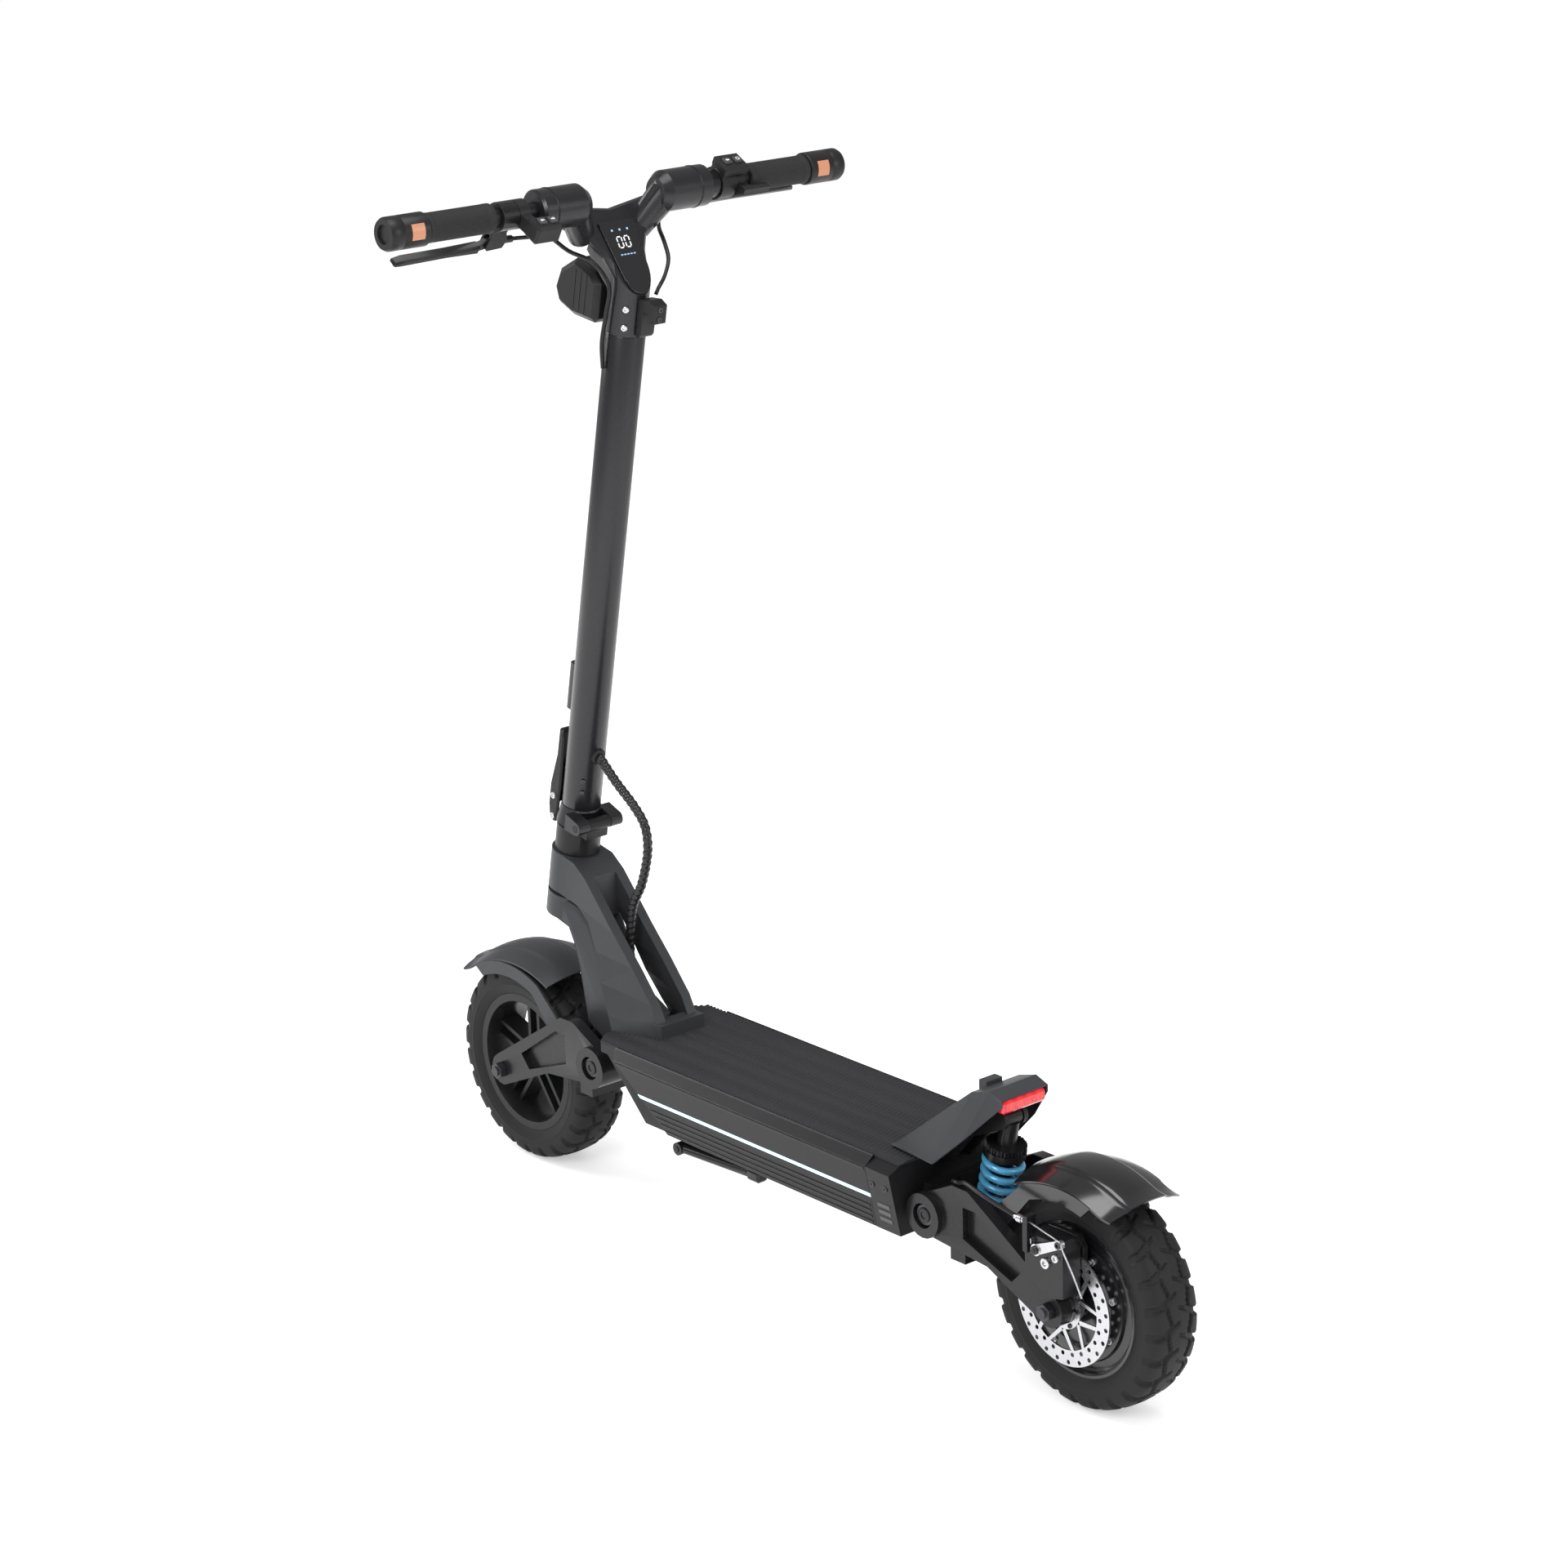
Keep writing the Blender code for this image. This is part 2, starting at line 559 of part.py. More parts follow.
# Fenders: a curved sheet over the tyre with a stay on each side down to the swing arm
def fender(where, pivot, inner, toward, angles, spread):
    """Sheet from the first angle to the last, in degrees up from the direction the wheel faces."""
    rows, columns = 9, 7
    half = inner - SEAT_GAP - FENDER_WALL * 0.4
    bm = bmesh.new()
    grid = []
    for row in range(rows):
        t = row / (rows - 1)
        angle = math.radians(angles[0] + (angles[1] - angles[0]) * t)
        radius = TYRE_RADIUS + FENDER_GAP + spread * t * t
        line = []
        for column in range(columns):
            across = 2 * column / (columns - 1) - 1
            lift = radius - FENDER_CROWN * across ** 2
            line.append(bm.verts.new((where.x + toward * lift * math.cos(angle), across * half,
                                      where.z + lift * math.sin(angle))))
        grid.append(line)
    for upper, lower in zip(grid, grid[1:]):
        for corner in range(columns - 1):
            bm.faces.new((upper[corner], upper[corner + 1], lower[corner + 1], lower[corner]))
    bmesh.ops.recalc_face_normals(bm, faces=bm.faces)
    sheet = as_object(bm)
    wall = sheet.modifiers.new("wall", "SOLIDIFY")
    wall.thickness = FENDER_WALL
    wall.offset = 0.0
    sheet = settled(sheet)
    foot = (pivot.x + toward * abs(where.x - pivot.x) * 0.46, pivot.z + ARM_BEND_UP * 0.30)
    reach = TYRE_RADIUS + FENDER_GAP - FENDER_CROWN
    upper = arc((0.0, 0.0), reach, angles[0] + 12, angles[1] - 6, 6)
    lower = arc((0.0, 0.0), reach - 0.017, angles[1] - 8, angles[0] + 16, 4)
    stay = [(where.x + toward * u, where.z + v) for u, v in upper]
    stay += [(foot[0] - toward * 0.012, foot[1] + 0.004), (foot[0] + toward * 0.012, foot[1] - 0.010)]
    stay += [(where.x + toward * u, where.z + v) for u, v in lower]
    for side in (-1, 1):
        low, high = sorted((side * (inner - SEAT_GAP), side * (inner - SEAT_GAP - FENDER_WALL)))
        sheet = fused(sheet, plate(stay, low, high))
    return sheet


add("front_fender", fender(FRONT_AXLE, FRONT_PIVOT, ARM_INNER, 1, (48, 122), 0.012), GRAPHITE, "front_arm")
add("rear_fender", fender(REAR_AXLE, REAR_PIVOT, REAR_ARM_INNER, -1, (58, 120), 0.004), BLACK_PLASTIC,
    "rear_arm")


# Deck: an open tub with a nose plate, side rails with light strips, a mat as its lid and the battery inside
MAT_HALF = DECK_HALF_WIDTH + RAIL_LIP - SEAT_GAP
NOSE_PLATE = 0.012
NOSE_CHAMFER = 0.021
TUB_NOSE_X = NOSE_X - NOSE_CHAMFER
TUB_FLOOR_FRONT_X = TUB_NOSE_X - (DECK_TOP - NOSE_PLATE - DECK_BOTTOM)
FOOT_REAR_X = NOSE_X - 0.0735
FOOT_REAR_HALF = LEG_HALF_GAP + LEG_THICKNESS
RAIL_FRONT_X = NOSE_X - RAIL_FRONT_SETBACK
RAIL_FOOT = 0.0050


def rail_face(height):
    """How far out the rail's flat side lies at a height."""
    top = DECK_TOP - RAIL_BEVEL_DROP
    share = (height - DECK_BOTTOM) / (top - DECK_BOTTOM)
    return DECK_HALF_WIDTH + RAIL_FOOT + (RAIL_BULGE - RAIL_FOOT) * share


def rail_front_cutter():
    """A wedge that rakes the front ends of the rails back at 45 degrees."""
    reach = 2 * (DECK_TOP - DECK_BOTTOM)
    return plate([(RAIL_FRONT_X + reach, DECK_TOP + reach), (RAIL_FRONT_X - reach, DECK_TOP - reach),
                  (RAIL_FRONT_X + 2 * reach, DECK_TOP - reach)], -0.2, 0.2)


nose_outline = [(RAIL_FRONT_X + 0.001, MAT_HALF), (NOSE_X - NOSE_CHAMFER, MAT_HALF),
                (NOSE_X - 0.007, MAT_HALF - 0.018), (NOSE_X, FOOT_HALF_WIDTH + 0.002)]
nose_outline += [(x, -y) for x, y in reversed(nose_outline)]
tub = plate([(TUB_REAR_X, DECK_TOP), (TUB_NOSE_X, DECK_TOP), (TUB_NOSE_X, DECK_TOP - NOSE_PLATE),
             (TUB_FLOOR_FRONT_X, DECK_BOTTOM), (TUB_REAR_X, DECK_BOTTOM)], -DECK_HALF_WIDTH, DECK_HALF_WIDTH)
tub = fused(tub, plate(nose_outline, DECK_TOP - NOSE_PLATE, DECK_TOP, along="Z"))
cavity_half = DECK_HALF_WIDTH - TUB_WALL
tub = carved(tub, box((TUB_REAR_X + TUB_WALL, -cavity_half, DECK_BOTTOM + TUB_WALL),
                      (TUB_FLOOR_FRONT_X - TUB_WALL, cavity_half, DECK_TOP + 0.01)))
STAND_PIVOT = Vector((TUB_FLOOR_FRONT_X - 0.060, DECK_HALF_WIDTH - 0.006, DECK_BOTTOM - 0.0150))
stand_bracket = plate([(STAND_PIVOT.x - 0.016, DECK_BOTTOM + 0.001),
                       (STAND_PIVOT.x + 0.016, DECK_BOTTOM + 0.001),
                       (STAND_PIVOT.x + 0.009, STAND_PIVOT.z - 0.008),
                       (STAND_PIVOT.x - 0.006, STAND_PIVOT.z - 0.008)],
                      STAND_PIVOT.y - 0.0170, STAND_PIVOT.y - 0.0078)
tub = fused(tub, stand_bracket, rod(STAND_PIVOT - Vector((0.0, 0.012, 0.0)),
                                    STAND_PIVOT + Vector((0.0, 0.0085, 0.0)), 0.0035, 16))
add("deck_chassis", tub, BLACK_METAL, "frame")

battery_low = Vector((TUB_REAR_X + TUB_WALL + 0.012, -cavity_half + 0.004, DECK_BOTTOM + TUB_WALL + SEAT_GAP))
battery_high = Vector((battery_low.x + BATTERY_LENGTH, cavity_half - 0.004, DECK_TOP - 0.006))
add("battery_pack", softened(box(battery_low, battery_high), 0.004), BATTERY_WRAP, "frame")

foot_front_half = FOOT_HALF_WIDTH + SEAT_GAP
mat_outline = [(TAIL_X, MAT_HALF), (NOSE_X - NOSE_CHAMFER, MAT_HALF), (NOSE_X - 0.007, MAT_HALF - 0.018),
               (NOSE_X - 0.005, foot_front_half), (FOOT_REAR_X - SEAT_GAP, FOOT_REAR_HALF + SEAT_GAP)]
mat_outline += [(x, -y) for x, y in reversed(mat_outline)]
add("deck_mat", plate(mat_outline, DECK_TOP + SEAT_GAP, MAT_TOP, along="Z"), RUBBER, "frame")

led_low = DECK_TOP - LED_DROP - LED_HEIGHT / 2
led_high = led_low + LED_HEIGHT
for label, side in (("left", 1), ("right", -1)):
    inner = DECK_HALF_WIDTH + SEAT_GAP
    lip = DECK_HALF_WIDTH + RAIL_LIP
    outline = [(inner, DECK_BOTTOM), (rail_face(DECK_BOTTOM), DECK_BOTTOM),
               (rail_face(led_low) - SEAT_GAP, led_low - SEAT_GAP),
               (rail_face(led_low) - LED_DEPTH - SEAT_GAP, led_low - SEAT_GAP),
               (rail_face(led_high) - LED_DEPTH - SEAT_GAP, led_high + SEAT_GAP),
               (rail_face(led_high), led_high + SEAT_GAP),
               (rail_face(DECK_TOP - RAIL_BEVEL_DROP), DECK_TOP - RAIL_BEVEL_DROP),
               (lip + 0.0022, MAT_TOP - SEAT_GAP), (lip, MAT_TOP - SEAT_GAP), (lip, DECK_TOP),
               (inner, DECK_TOP)]
    outline = [(side * y, z) for y, z in outline]
    rail = carved(plate(outline, TUB_REAR_X, NOSE_X, along="X"), rail_front_cutter())
    add("side_rail_" + label, rail, BLACK_METAL, "frame")
    strip = [(rail_face(led_low) - LED_DEPTH, led_low), (rail_face(led_low), led_low),
             (rail_face(led_high), led_high), (rail_face(led_high) - LED_DEPTH, led_high)]
    strip = [(side * y, z) for y, z in strip]
    light = carved(plate(strip, TUB_REAR_X, NOSE_X, along="X"), rail_front_cutter())
    add("led_strip_" + label, light, LIGHT_STRIP, "frame")

# Tail casting: end cap of the rails' section, hinge barrels for the rear arm and ears for the shock
lip = DECK_HALF_WIDTH + RAIL_LIP
cap_outline = [(rail_face(DECK_BOTTOM), DECK_BOTTOM),
               (rail_face(DECK_TOP - RAIL_BEVEL_DROP), DECK_TOP - RAIL_BEVEL_DROP), (lip, DECK_TOP)]
cap_outline += [(-y, z) for y, z in reversed(cap_outline)]
tail = plate(cap_outline, TAIL_X, TUB_REAR_X - SEAT_GAP, along="X")
tail = fused(tail, cross_rod(REAR_PIVOT, REAR_BARREL_HALF, BARREL_RADIUS),
             box((REAR_PIVOT.x, -REAR_BARREL_HALF, REAR_PIVOT.z - BARREL_RADIUS * 0.8),
                 (TAIL_X + 0.004, REAR_BARREL_HALF, REAR_PIVOT.z + BARREL_RADIUS * 0.8)))
spring_room = SPRING_RADIUS + SPRING_WIRE + 0.0030
tail = carved(tail, box((REAR_PIVOT.x - 0.06, -spring_room, DECK_BOTTOM - 0.01),
                        (REAR_PIVOT.x + 0.014, spring_room, DECK_TOP + 0.01)),
              cross_rod(REAR_PIVOT, REAR_BARREL_HALF + 0.01, PIVOT_PIN_RADIUS + RUN_GAP))
ear_radius = SHOCK_EYE_RADIUS + 0.0015
ear = [(TAIL_X + 0.001, DECK_TOP - 0.012), (TAIL_X + 0.001, DECK_TOP - 0.003),
       (TAIL_X - 0.002, DECK_TOP - 0.001),
       (TAIL_X - 0.033, SHOCK_TOP.z - 0.008)]
ear += arc((SHOCK_TOP.x, SHOCK_TOP.z), ear_radius, 80, 260, 8)
ear += [(TAIL_X - 0.045, SHOCK_TOP.z - 0.032), (TAIL_X - 0.010, DECK_TOP - 0.012)]
for side in (-1, 1):
    low, high = sorted((side * SHOCK_SLOT_HALF, side * (SHOCK_SLOT_HALF + 0.006)))
    tail = fused(tail, plate(ear, low, high))
tail = fused(tail, cross_rod(SHOCK_TOP, SHOCK_SLOT_HALF + 0.004, SHOCK_PIN_RADIUS, 16))
add("rear_pivot_block", tail, BLACK_METAL, "frame")

# Kick plate: a folded sheet that rises from the deck to the tail light, with the stow tab near its top
KICK_WALL = 0.0022
kick_rows = [  # ridge, then lower edge: back from the tail, out from the middle and up from the mat
    ((0.042, 0.050, 0.0024), (0.044, 0.0565, 0.0024)),
    ((-0.066, 0.036, 0.0902), (-0.033, 0.066, 0.0042)),
    ((-0.093, 0.036, 0.0982), (-0.071, 0.056, 0.0400)),
    ((-0.112, 0.035, 0.0922), (-0.112, 0.0352, 0.0840)),
]
bm = bmesh.new()
lines = []
for ridge, edge in kick_rows:
    corners = [(edge[0], -edge[1], edge[2]), (ridge[0], -ridge[1], ridge[2]), ridge, edge]
    lines.append([bm.verts.new((TAIL_X + x, y, MAT_TOP + z)) for x, y, z in corners])
for front, back in zip(lines, lines[1:]):
    for corner in range(3):
        bm.faces.new((front[corner], back[corner], back[corner + 1], front[corner + 1]))
kick = as_object(bm)
wall = kick.modifiers.new("wall", "SOLIDIFY")
wall.thickness = KICK_WALL
wall.offset = 1.0
wall.use_even_offset = True
kick = settled(kick)
TAB_X = TAIL_X - 0.0586
kick = fused(kick, box((TAB_X - 0.006, -0.012, MAT_TOP + 0.081), (TAB_X + 0.006, 0.012, MAT_TOP + 0.0945)))
add("kick_plate", kick, GRAPHITE, "frame")
light_top = MAT_TOP + kick_rows[3][0][2] - KICK_WALL - 0.0004
lens = box((TAIL_X - 0.1125, -0.0325, light_top - 0.0155), (TAIL_X - 0.0975, 0.0325, light_top))
add("tail_light", softened(lens, 0.003), RED_LENS, "frame")


# Frame neck: two splayed legs from the deck's nose up to the steering head
def between(top, foot, share, bow):
    """A point a share of the way from top to foot, bowed along X."""
    return (top[0] + (foot[0] - top[0]) * share + bow, top[1] + (foot[1] - top[1]) * share)


def flat(point):
    return (point.x, point.z)


neck_front_top = flat(stem_point(-0.0436, 0.0, -HEAD_LENGTH))
neck_front_foot = (NOSE_X - 0.0017, DECK_TOP + SEAT_GAP)
neck_rear_top = flat(stem_point(-HEAD_RADIUS, 0.0, -0.001))
neck_rear_foot = (FOOT_REAR_X, DECK_TOP + SEAT_GAP)
front_bows = [(0.12, -0.0125), (0.36, -0.0093), (0.62, -0.0014), (0.875, 0.0)]
rear_bows = [(0.085, -0.0076), (0.386, -0.0092), (0.58, -0.0127), (0.784, -0.0130)]
neck_front = [between(neck_front_top, neck_front_foot, share, bow) for share, bow in front_bows]
neck_rear = [between(neck_rear_top, neck_rear_foot, share, bow) for share, bow in rear_bows]
neck_outline = ([flat(stem_point(0.0, 0.0, -0.001)), flat(stem_point(0.0, 0.0, -HEAD_LENGTH)), neck_front_top]
                + neck_front + [neck_front_foot, neck_rear_foot] + neck_rear[::-1] + [neck_rear_top])


def splay(shape):
    """Lean the legs' front edges outwards, more and more towards the foot."""
    foot_splay = (FOOT_HALF_WIDTH - FOOT_REAR_HALF) / (neck_front_foot[0] - neck_rear_foot[0])
    for vertex in shape.data.vertices:
        share = (neck_front_top[1] - vertex.co.z) / (neck_front_top[1] - neck_rear_foot[1])
        if share > 0.0:
            rear_x = between(neck_rear_top, neck_rear_foot, min(1.0, 0.29 + 0.71 * share), 0.0)[0]
            out = foot_splay * share * max(0.0, vertex.co.x - rear_x)
            vertex.co.y += math.copysign(out, vertex.co.y)
    return shape


neck = rod(stem_point(0.0, 0.0, -0.0004), stem_point(0.0, 0.0, -HEAD_LENGTH), HEAD_RADIUS, 32)
for side in (-1, 1):
    low, high = sorted((side * LEG_HALF_GAP, side * (LEG_HALF_GAP + LEG_THICKNESS - 0.003)))
    leg = plate(neck_outline, low, high)
    neck = fused(neck, splay(leg))
throat = [flat(stem_point(0.0, 0.0, -0.001)), flat(stem_point(0.0, 0.0, -HEAD_LENGTH)), neck_front_top,
          neck_front[0], neck_rear[0], neck_rear_top]
neck = fused(neck, plate(throat, -LEG_HALF_GAP - 0.002, LEG_HALF_GAP + 0.002))
foot_outline = [(FOOT_REAR_X, FOOT_REAR_HALF), (FOOT_REAR_X + 0.022, FOOT_REAR_HALF)]
foot_outline += [(x, -y) for x, y in reversed(foot_outline)]
neck = fused(neck, plate(foot_outline, DECK_TOP + SEAT_GAP, DECK_TOP + 0.020, along="Z"))
neck = carved(neck, rod(stem_point(0.0, 0.0, -0.2), stem_point(0.0, 0.0, 0.02), STEERER_RADIUS + RUN_GAP, 32))
add("frame_neck", neck, GRAPHITE, "frame")


# Fork: one bowed casting from the crown down to the front hinge barrel, with the steerer on top
fork_pivot = STEM.inverted() @ FRONT_PIVOT
crown_top = -HEAD_LENGTH - 0.0045
fork_outline = [
    (0.020, crown_top - 0.0008), (-0.040, crown_top - 0.0008), (-0.0665, -0.068), (-0.088, -0.0965),
    (-0.1095, -0.128), (-0.136, -0.157), (-0.165, -0.195), (fork_pivot.x - 0.024, fork_pivot.z + 0.008),
    (fork_pivot.x, fork_pivot.z), (fork_pivot.x + 0.024, fork_pivot.z + 0.006), (-0.079, -0.199),
    (-0.0655, -0.165), (-0.052, -0.133), (-0.038, -0.108), (-0.026, -0.0935), (0.018, -0.0915),
    (0.020, -0.084)]
fork = softened(plate(fork_outline, -FORK_HALF_WIDTH, FORK_HALF_WIDTH, STEM), 0.007, 2, 70)
fork = fused(fork, rod((0.0, 0.0, crown_top), (0.0, 0.0, crown_top - 0.030), HEAD_RADIUS, 32, place=STEM),
             rod((0.0, 0.0, crown_top - 0.010), (0.0, 0.0, COLLAR_HEIGHT - 0.001), STEERER_RADIUS, 32,
                 place=STEM),
             cross_rod(FRONT_PIVOT, BARREL_HALF, BARREL_RADIUS))
fork = carved(fork, cross_rod(FRONT_PIVOT, BARREL_HALF + 0.01, PIVOT_PIN_RADIUS + RUN_GAP))
add("fork", fork, GRAPHITE, "steering")

# Stem base: collar on the steerer with the middle knuckle, the fold pin and the latch's lug
LATCH_PIN = (0.0375, 0.0291)    # ahead of the steering axis, above the frame head
LATCH_HALF = 0.012
LATCH_INNER = 0.0085
LATCH_REAR = 0.0292
LATCH_FRONT = 0.0470
LATCH_TOP = 0.147
fold_pin = (-FOLD_PIN_BACK, 0.0, FOLD_PIN_UP)
collar = rod((0.0, 0.0, 0.0006), (0.0, 0.0, COLLAR_HEIGHT), COLLAR_RADIUS, 32, place=STEM)
collar = fused(collar, box((-0.0345, -KNUCKLE_HALF, COLLAR_HEIGHT - 0.006),
                           (-0.0200, KNUCKLE_HALF, FOLD_PIN_UP + 0.002), STEM),
               cross_rod(fold_pin, KNUCKLE_HALF, KNUCKLE_RADIUS, place=STEM),
               cross_rod(fold_pin, KNUCKLE_OUTER, FOLD_PIN_RADIUS, 20, place=STEM))
lug = [(0.020, LATCH_PIN[1] - 0.0058), (LATCH_PIN[0], LATCH_PIN[1] - 0.0058)]
lug += arc(LATCH_PIN, 0.0058, -75, 75, 7) + [(LATCH_PIN[0], LATCH_PIN[1] + 0.0058),
                                             (0.020, LATCH_PIN[1] + 0.0045)]
collar = fused(collar, plate(lug, -LATCH_INNER + 0.0005, LATCH_INNER - 0.0005, STEM),
               cross_rod((LATCH_PIN[0], 0.0, LATCH_PIN[1]), LATCH_HALF + 0.0005, 0.003, 16, place=STEM))
collar = carved(collar, rod((0.0, 0.0, -0.02), (0.0, 0.0, COLLAR_HEIGHT + 0.03), STEERER_RADIUS + RUN_GAP, 32,
                            place=STEM))
add("stem_base", collar, BLACK_METAL, "steering")

# Fold latch: a long channel that flips down in front of the stem
body("latch", stem_point(LATCH_PIN[0], 0.0, LATCH_PIN[1]), "steering")
latch_outline = arc(LATCH_PIN, 0.0078, 150, 330, 9)
latch_outline += [(LATCH_FRONT + 0.001, 0.042), (LATCH_FRONT + 0.001, 0.070), (0.0405, 0.112),
                  (0.0400, LATCH_TOP),
                  (0.0330, LATCH_TOP), (LATCH_REAR + 0.001, LATCH_TOP - 0.012), (LATCH_REAR, 0.070)]
latch = softened(plate(latch_outline, -LATCH_HALF, LATCH_HALF, STEM), 0.002, 1, 70)
hollow = [(LATCH_REAR - 0.01, 0.010), (LATCH_FRONT + 0.02, 0.010), (LATCH_FRONT + 0.02, LATCH_PIN[1] + 0.006),
          (LATCH_FRONT - 0.002, LATCH_PIN[1] + 0.012), (LATCH_FRONT - 0.002, 0.070), (0.0370, 0.112),
          (0.0365, LATCH_TOP - 0.004), (LATCH_REAR - 0.01, LATCH_TOP - 0.004)]
latch = carved(latch, plate(hollow, -LATCH_INNER, LATCH_INNER, STEM),
               cross_rod((LATCH_PIN[0], 0.0, LATCH_PIN[1]), LATCH_HALF + 0.01, 0.003 + RUN_GAP, 16,
                         place=STEM))
add("fold_latch", latch, BLACK_METAL, "latch")

# Stem foot: the hinged socket that carries the tube
tube_bore = STEM_RADIUS - STEM_WALL
foot_low = COLLAR_HEIGHT + 0.0024
foot = rod((0.0, 0.0, foot_low), (0.0, 0.0, STEM_FROM), COLLAR_RADIUS + 0.001, 32, STEM_RADIUS + 0.0005, STEM)
foot = fused(foot, rod((0.0, 0.0, STEM_FROM - 0.010), (0.0, 0.0, STEM_FROM + SPIGOT_LENGTH),
                       tube_bore - SEAT_GAP,
                       32, place=STEM))
for side in (-1, 1):
    low, high = sorted((side * (KNUCKLE_HALF + 0.0005), side * KNUCKLE_OUTER))
    ear = [(-0.012, foot_low + 0.001)]
    ear += arc((fold_pin[0], fold_pin[2]), 0.0085, 270, 110, 8)
    ear += [(-0.012, 0.0585)]
    foot = fused(foot, plate(ear, low, high, STEM))
knuckle_room = KNUCKLE_HALF + 0.0005
foot = carved(foot, box((-0.060, -knuckle_room, 0.030), (-0.0192, knuckle_room, 0.0572), STEM),
              cross_rod(fold_pin, KNUCKLE_OUTER + 0.01, FOLD_PIN_RADIUS + RUN_GAP, 20, place=STEM))
add("stem_foot", foot, STEM_PAINT, "stem")

# Stem tube, with the maker's cover strip on its front
stem = rod((0.0, 0.0, STEM_FROM + 0.0005), (0.0, 0.0, STEM_TOP), STEM_RADIUS, 32, place=STEM)
cover = softened(box((STEM_RADIUS - 0.0018, -0.009, 0.175), (0.0362, 0.009, 0.237), STEM), 0.004)
stem = fused(stem, cover)
stem = carved(stem, rod((0.0, 0.0, 0.0), (0.0, 0.0, STEM_TOP + 0.05), tube_bore, 32, place=STEM))
add("stem_tube", stem, STEM_PAINT, "stem")

# Handlebar head: a Y-shaped casting on the tube, its sloping face towards the rider, with two bar sockets
PANEL = STEM @ Matrix.Translation((-0.0214, 0.0,
                                   STEM_TOP + 0.053)) @ Matrix.Rotation(DISPLAY_TILT - math.radians(90), 4,
                                       "Y")
yoke_outline = [(0.002, 0.0165), (0.020, 0.0225), (0.050, 0.0300), (0.078, 0.0450), (0.092, 0.0700),
                (0.118, 0.0760), (0.113, 0.0450), (0.106, 0.0)]
yoke_outline += [(p, -y) for p, y in reversed(yoke_outline[:-1])]
yoke = softened(plate(yoke_outline, -0.013, 0.0, PANEL, "Z"), 0.004, 1, 70)
keel_outline = [(0.008, 0.0165), (0.020, 0.0205), (0.050, 0.0265), (0.075, 0.0300)]
keel_outline += [(p, -y) for p, y in reversed(keel_outline)]
yoke = fused(yoke, softened(plate(keel_outline, -0.034, -0.006, PANEL, "Z"), 0.005, 1, 70))
column = rod((0.0, 0.0, STEM_TOP + 0.0005), (0.0, 0.0, STEM_TOP + 0.110), STEM_RADIUS, 32, place=STEM)
column = carved(column, box((-0.1, -0.1, 0.0), (0.2, 0.1, 0.2), PANEL))
head = fused(column, yoke, rod((0.0, 0.0, STEM_TOP - SPIGOT_LENGTH), (0.0, 0.0, STEM_TOP + 0.010),
                               tube_bore - SEAT_GAP, 32, place=STEM))
bar_in_panel = PANEL.inverted() @ BAR
for side in (-1, 1):
    start = Vector((0.082, side * 0.040, -0.016))
    reach = Vector((bar_in_panel.x, side * 0.068, bar_in_panel.z))
    head = fused(head, rod(start, reach, 0.0155, 20, 0.019, PANEL))
    pod = [(0.0, 0.0), (POD_RADIUS - 0.007, 0.0), (POD_RADIUS, 0.010), (POD_RADIUS, POD_LENGTH - 0.003),
           (POD_RADIUS - 0.003, POD_LENGTH), (0.0, POD_LENGTH)]
    turn = Matrix.Translation(BAR + Vector((0.0, side * POD_INNER, 0.0))) @ Matrix.Rotation(
        math.radians(-90 * side), 4, "X")
    head = fused(head, turned(pod, 24, turn))
    bore_from = BAR + Vector((0.0, side * (POD_INNER + 0.008), 0.0))
    bore_to = BAR + Vector((0.0, side * (POD_OUTER + 0.02), 0.0))
    head = carved(head, rod(bore_from, bore_to, BAR_RADIUS + SEAT_GAP, 24))
add("handlebar_head", head, GRAPHITE, "stem")

for label, side in (("left", 1), ("right", -1)):
    stub_from = BAR + Vector((0.0, side * (POD_INNER + 0.0085), 0.0))
    stub_to = BAR + Vector((0.0, side * (BAR_HALF - 0.020), 0.0))
    add("bar_tube_" + label, rod(stub_from, stub_to, BAR_RADIUS, 24), BLACK_METAL, "stem")

# Display panel, headlight and stow hook on the head
shield = [(0.0880, 0.0260), (0.040, 0.0200), (0.015, 0.0170)] + arc((0.014, 0.0), 0.0155, 80, 170, 4)
shield += [(p, -y) for p, y in reversed(shield)]
add("display_panel", plate(shield, SEAT_GAP, PANEL_THICKNESS + SEAT_GAP, PANEL, "Z"), GLOSS_PANEL, "stem")
lamp_rear = STEM_RADIUS + 0.0010
lamp_outline = [(lamp_rear, 0.003), (lamp_rear, 0.0515), (0.0385, 0.062), (0.071, 0.0684), (0.098, 0.047),
                (0.1043, 0.025), (0.095, 0.007), (0.068, 0.0005)]
lamp_outline = [(forward, STEM_TOP + up) for forward, up in lamp_outline]
lamp = softened(plate(lamp_outline, -0.027, 0.027, STEM), 0.006, 1, 70)
add("headlight_housing", lamp, BLACK_PLASTIC, "stem")
hook_outline = [(-STEM_RADIUS - 0.0005, 0.003), (-STEM_RADIUS - 0.0005, 0.047), (-0.0415, 0.051),
                (-0.0520, 0.047),
                (-0.0520, 0.025), (-0.0455, 0.025), (-0.0430, 0.035), (-0.0345, 0.035), (-0.0335, 0.007),
                (-0.0310, 0.003)]
hook_outline = [(forward, STEM_TOP + up) for forward, up in hook_outline]
add("stow_hook", plate(hook_outline, -0.014, 0.006, STEM), BLACK_METAL, "stem")


# Grips and the lamp housings on the bar's ends
def bar_point(forward, left, up):
    """A place seen from the bar's centre."""
    return BAR + Vector((forward, left, up))


def bar_ring(low, high, radius, bore, sides=24):
    """A sleeve round the bar between two places along it."""
    sleeve = rod(bar_point(0, low, 0), bar_point(0, high, 0), radius, sides)
    return carved(sleeve, rod(bar_point(0, low - 0.01, 0), bar_point(0, high + 0.01, 0), bore, 20))


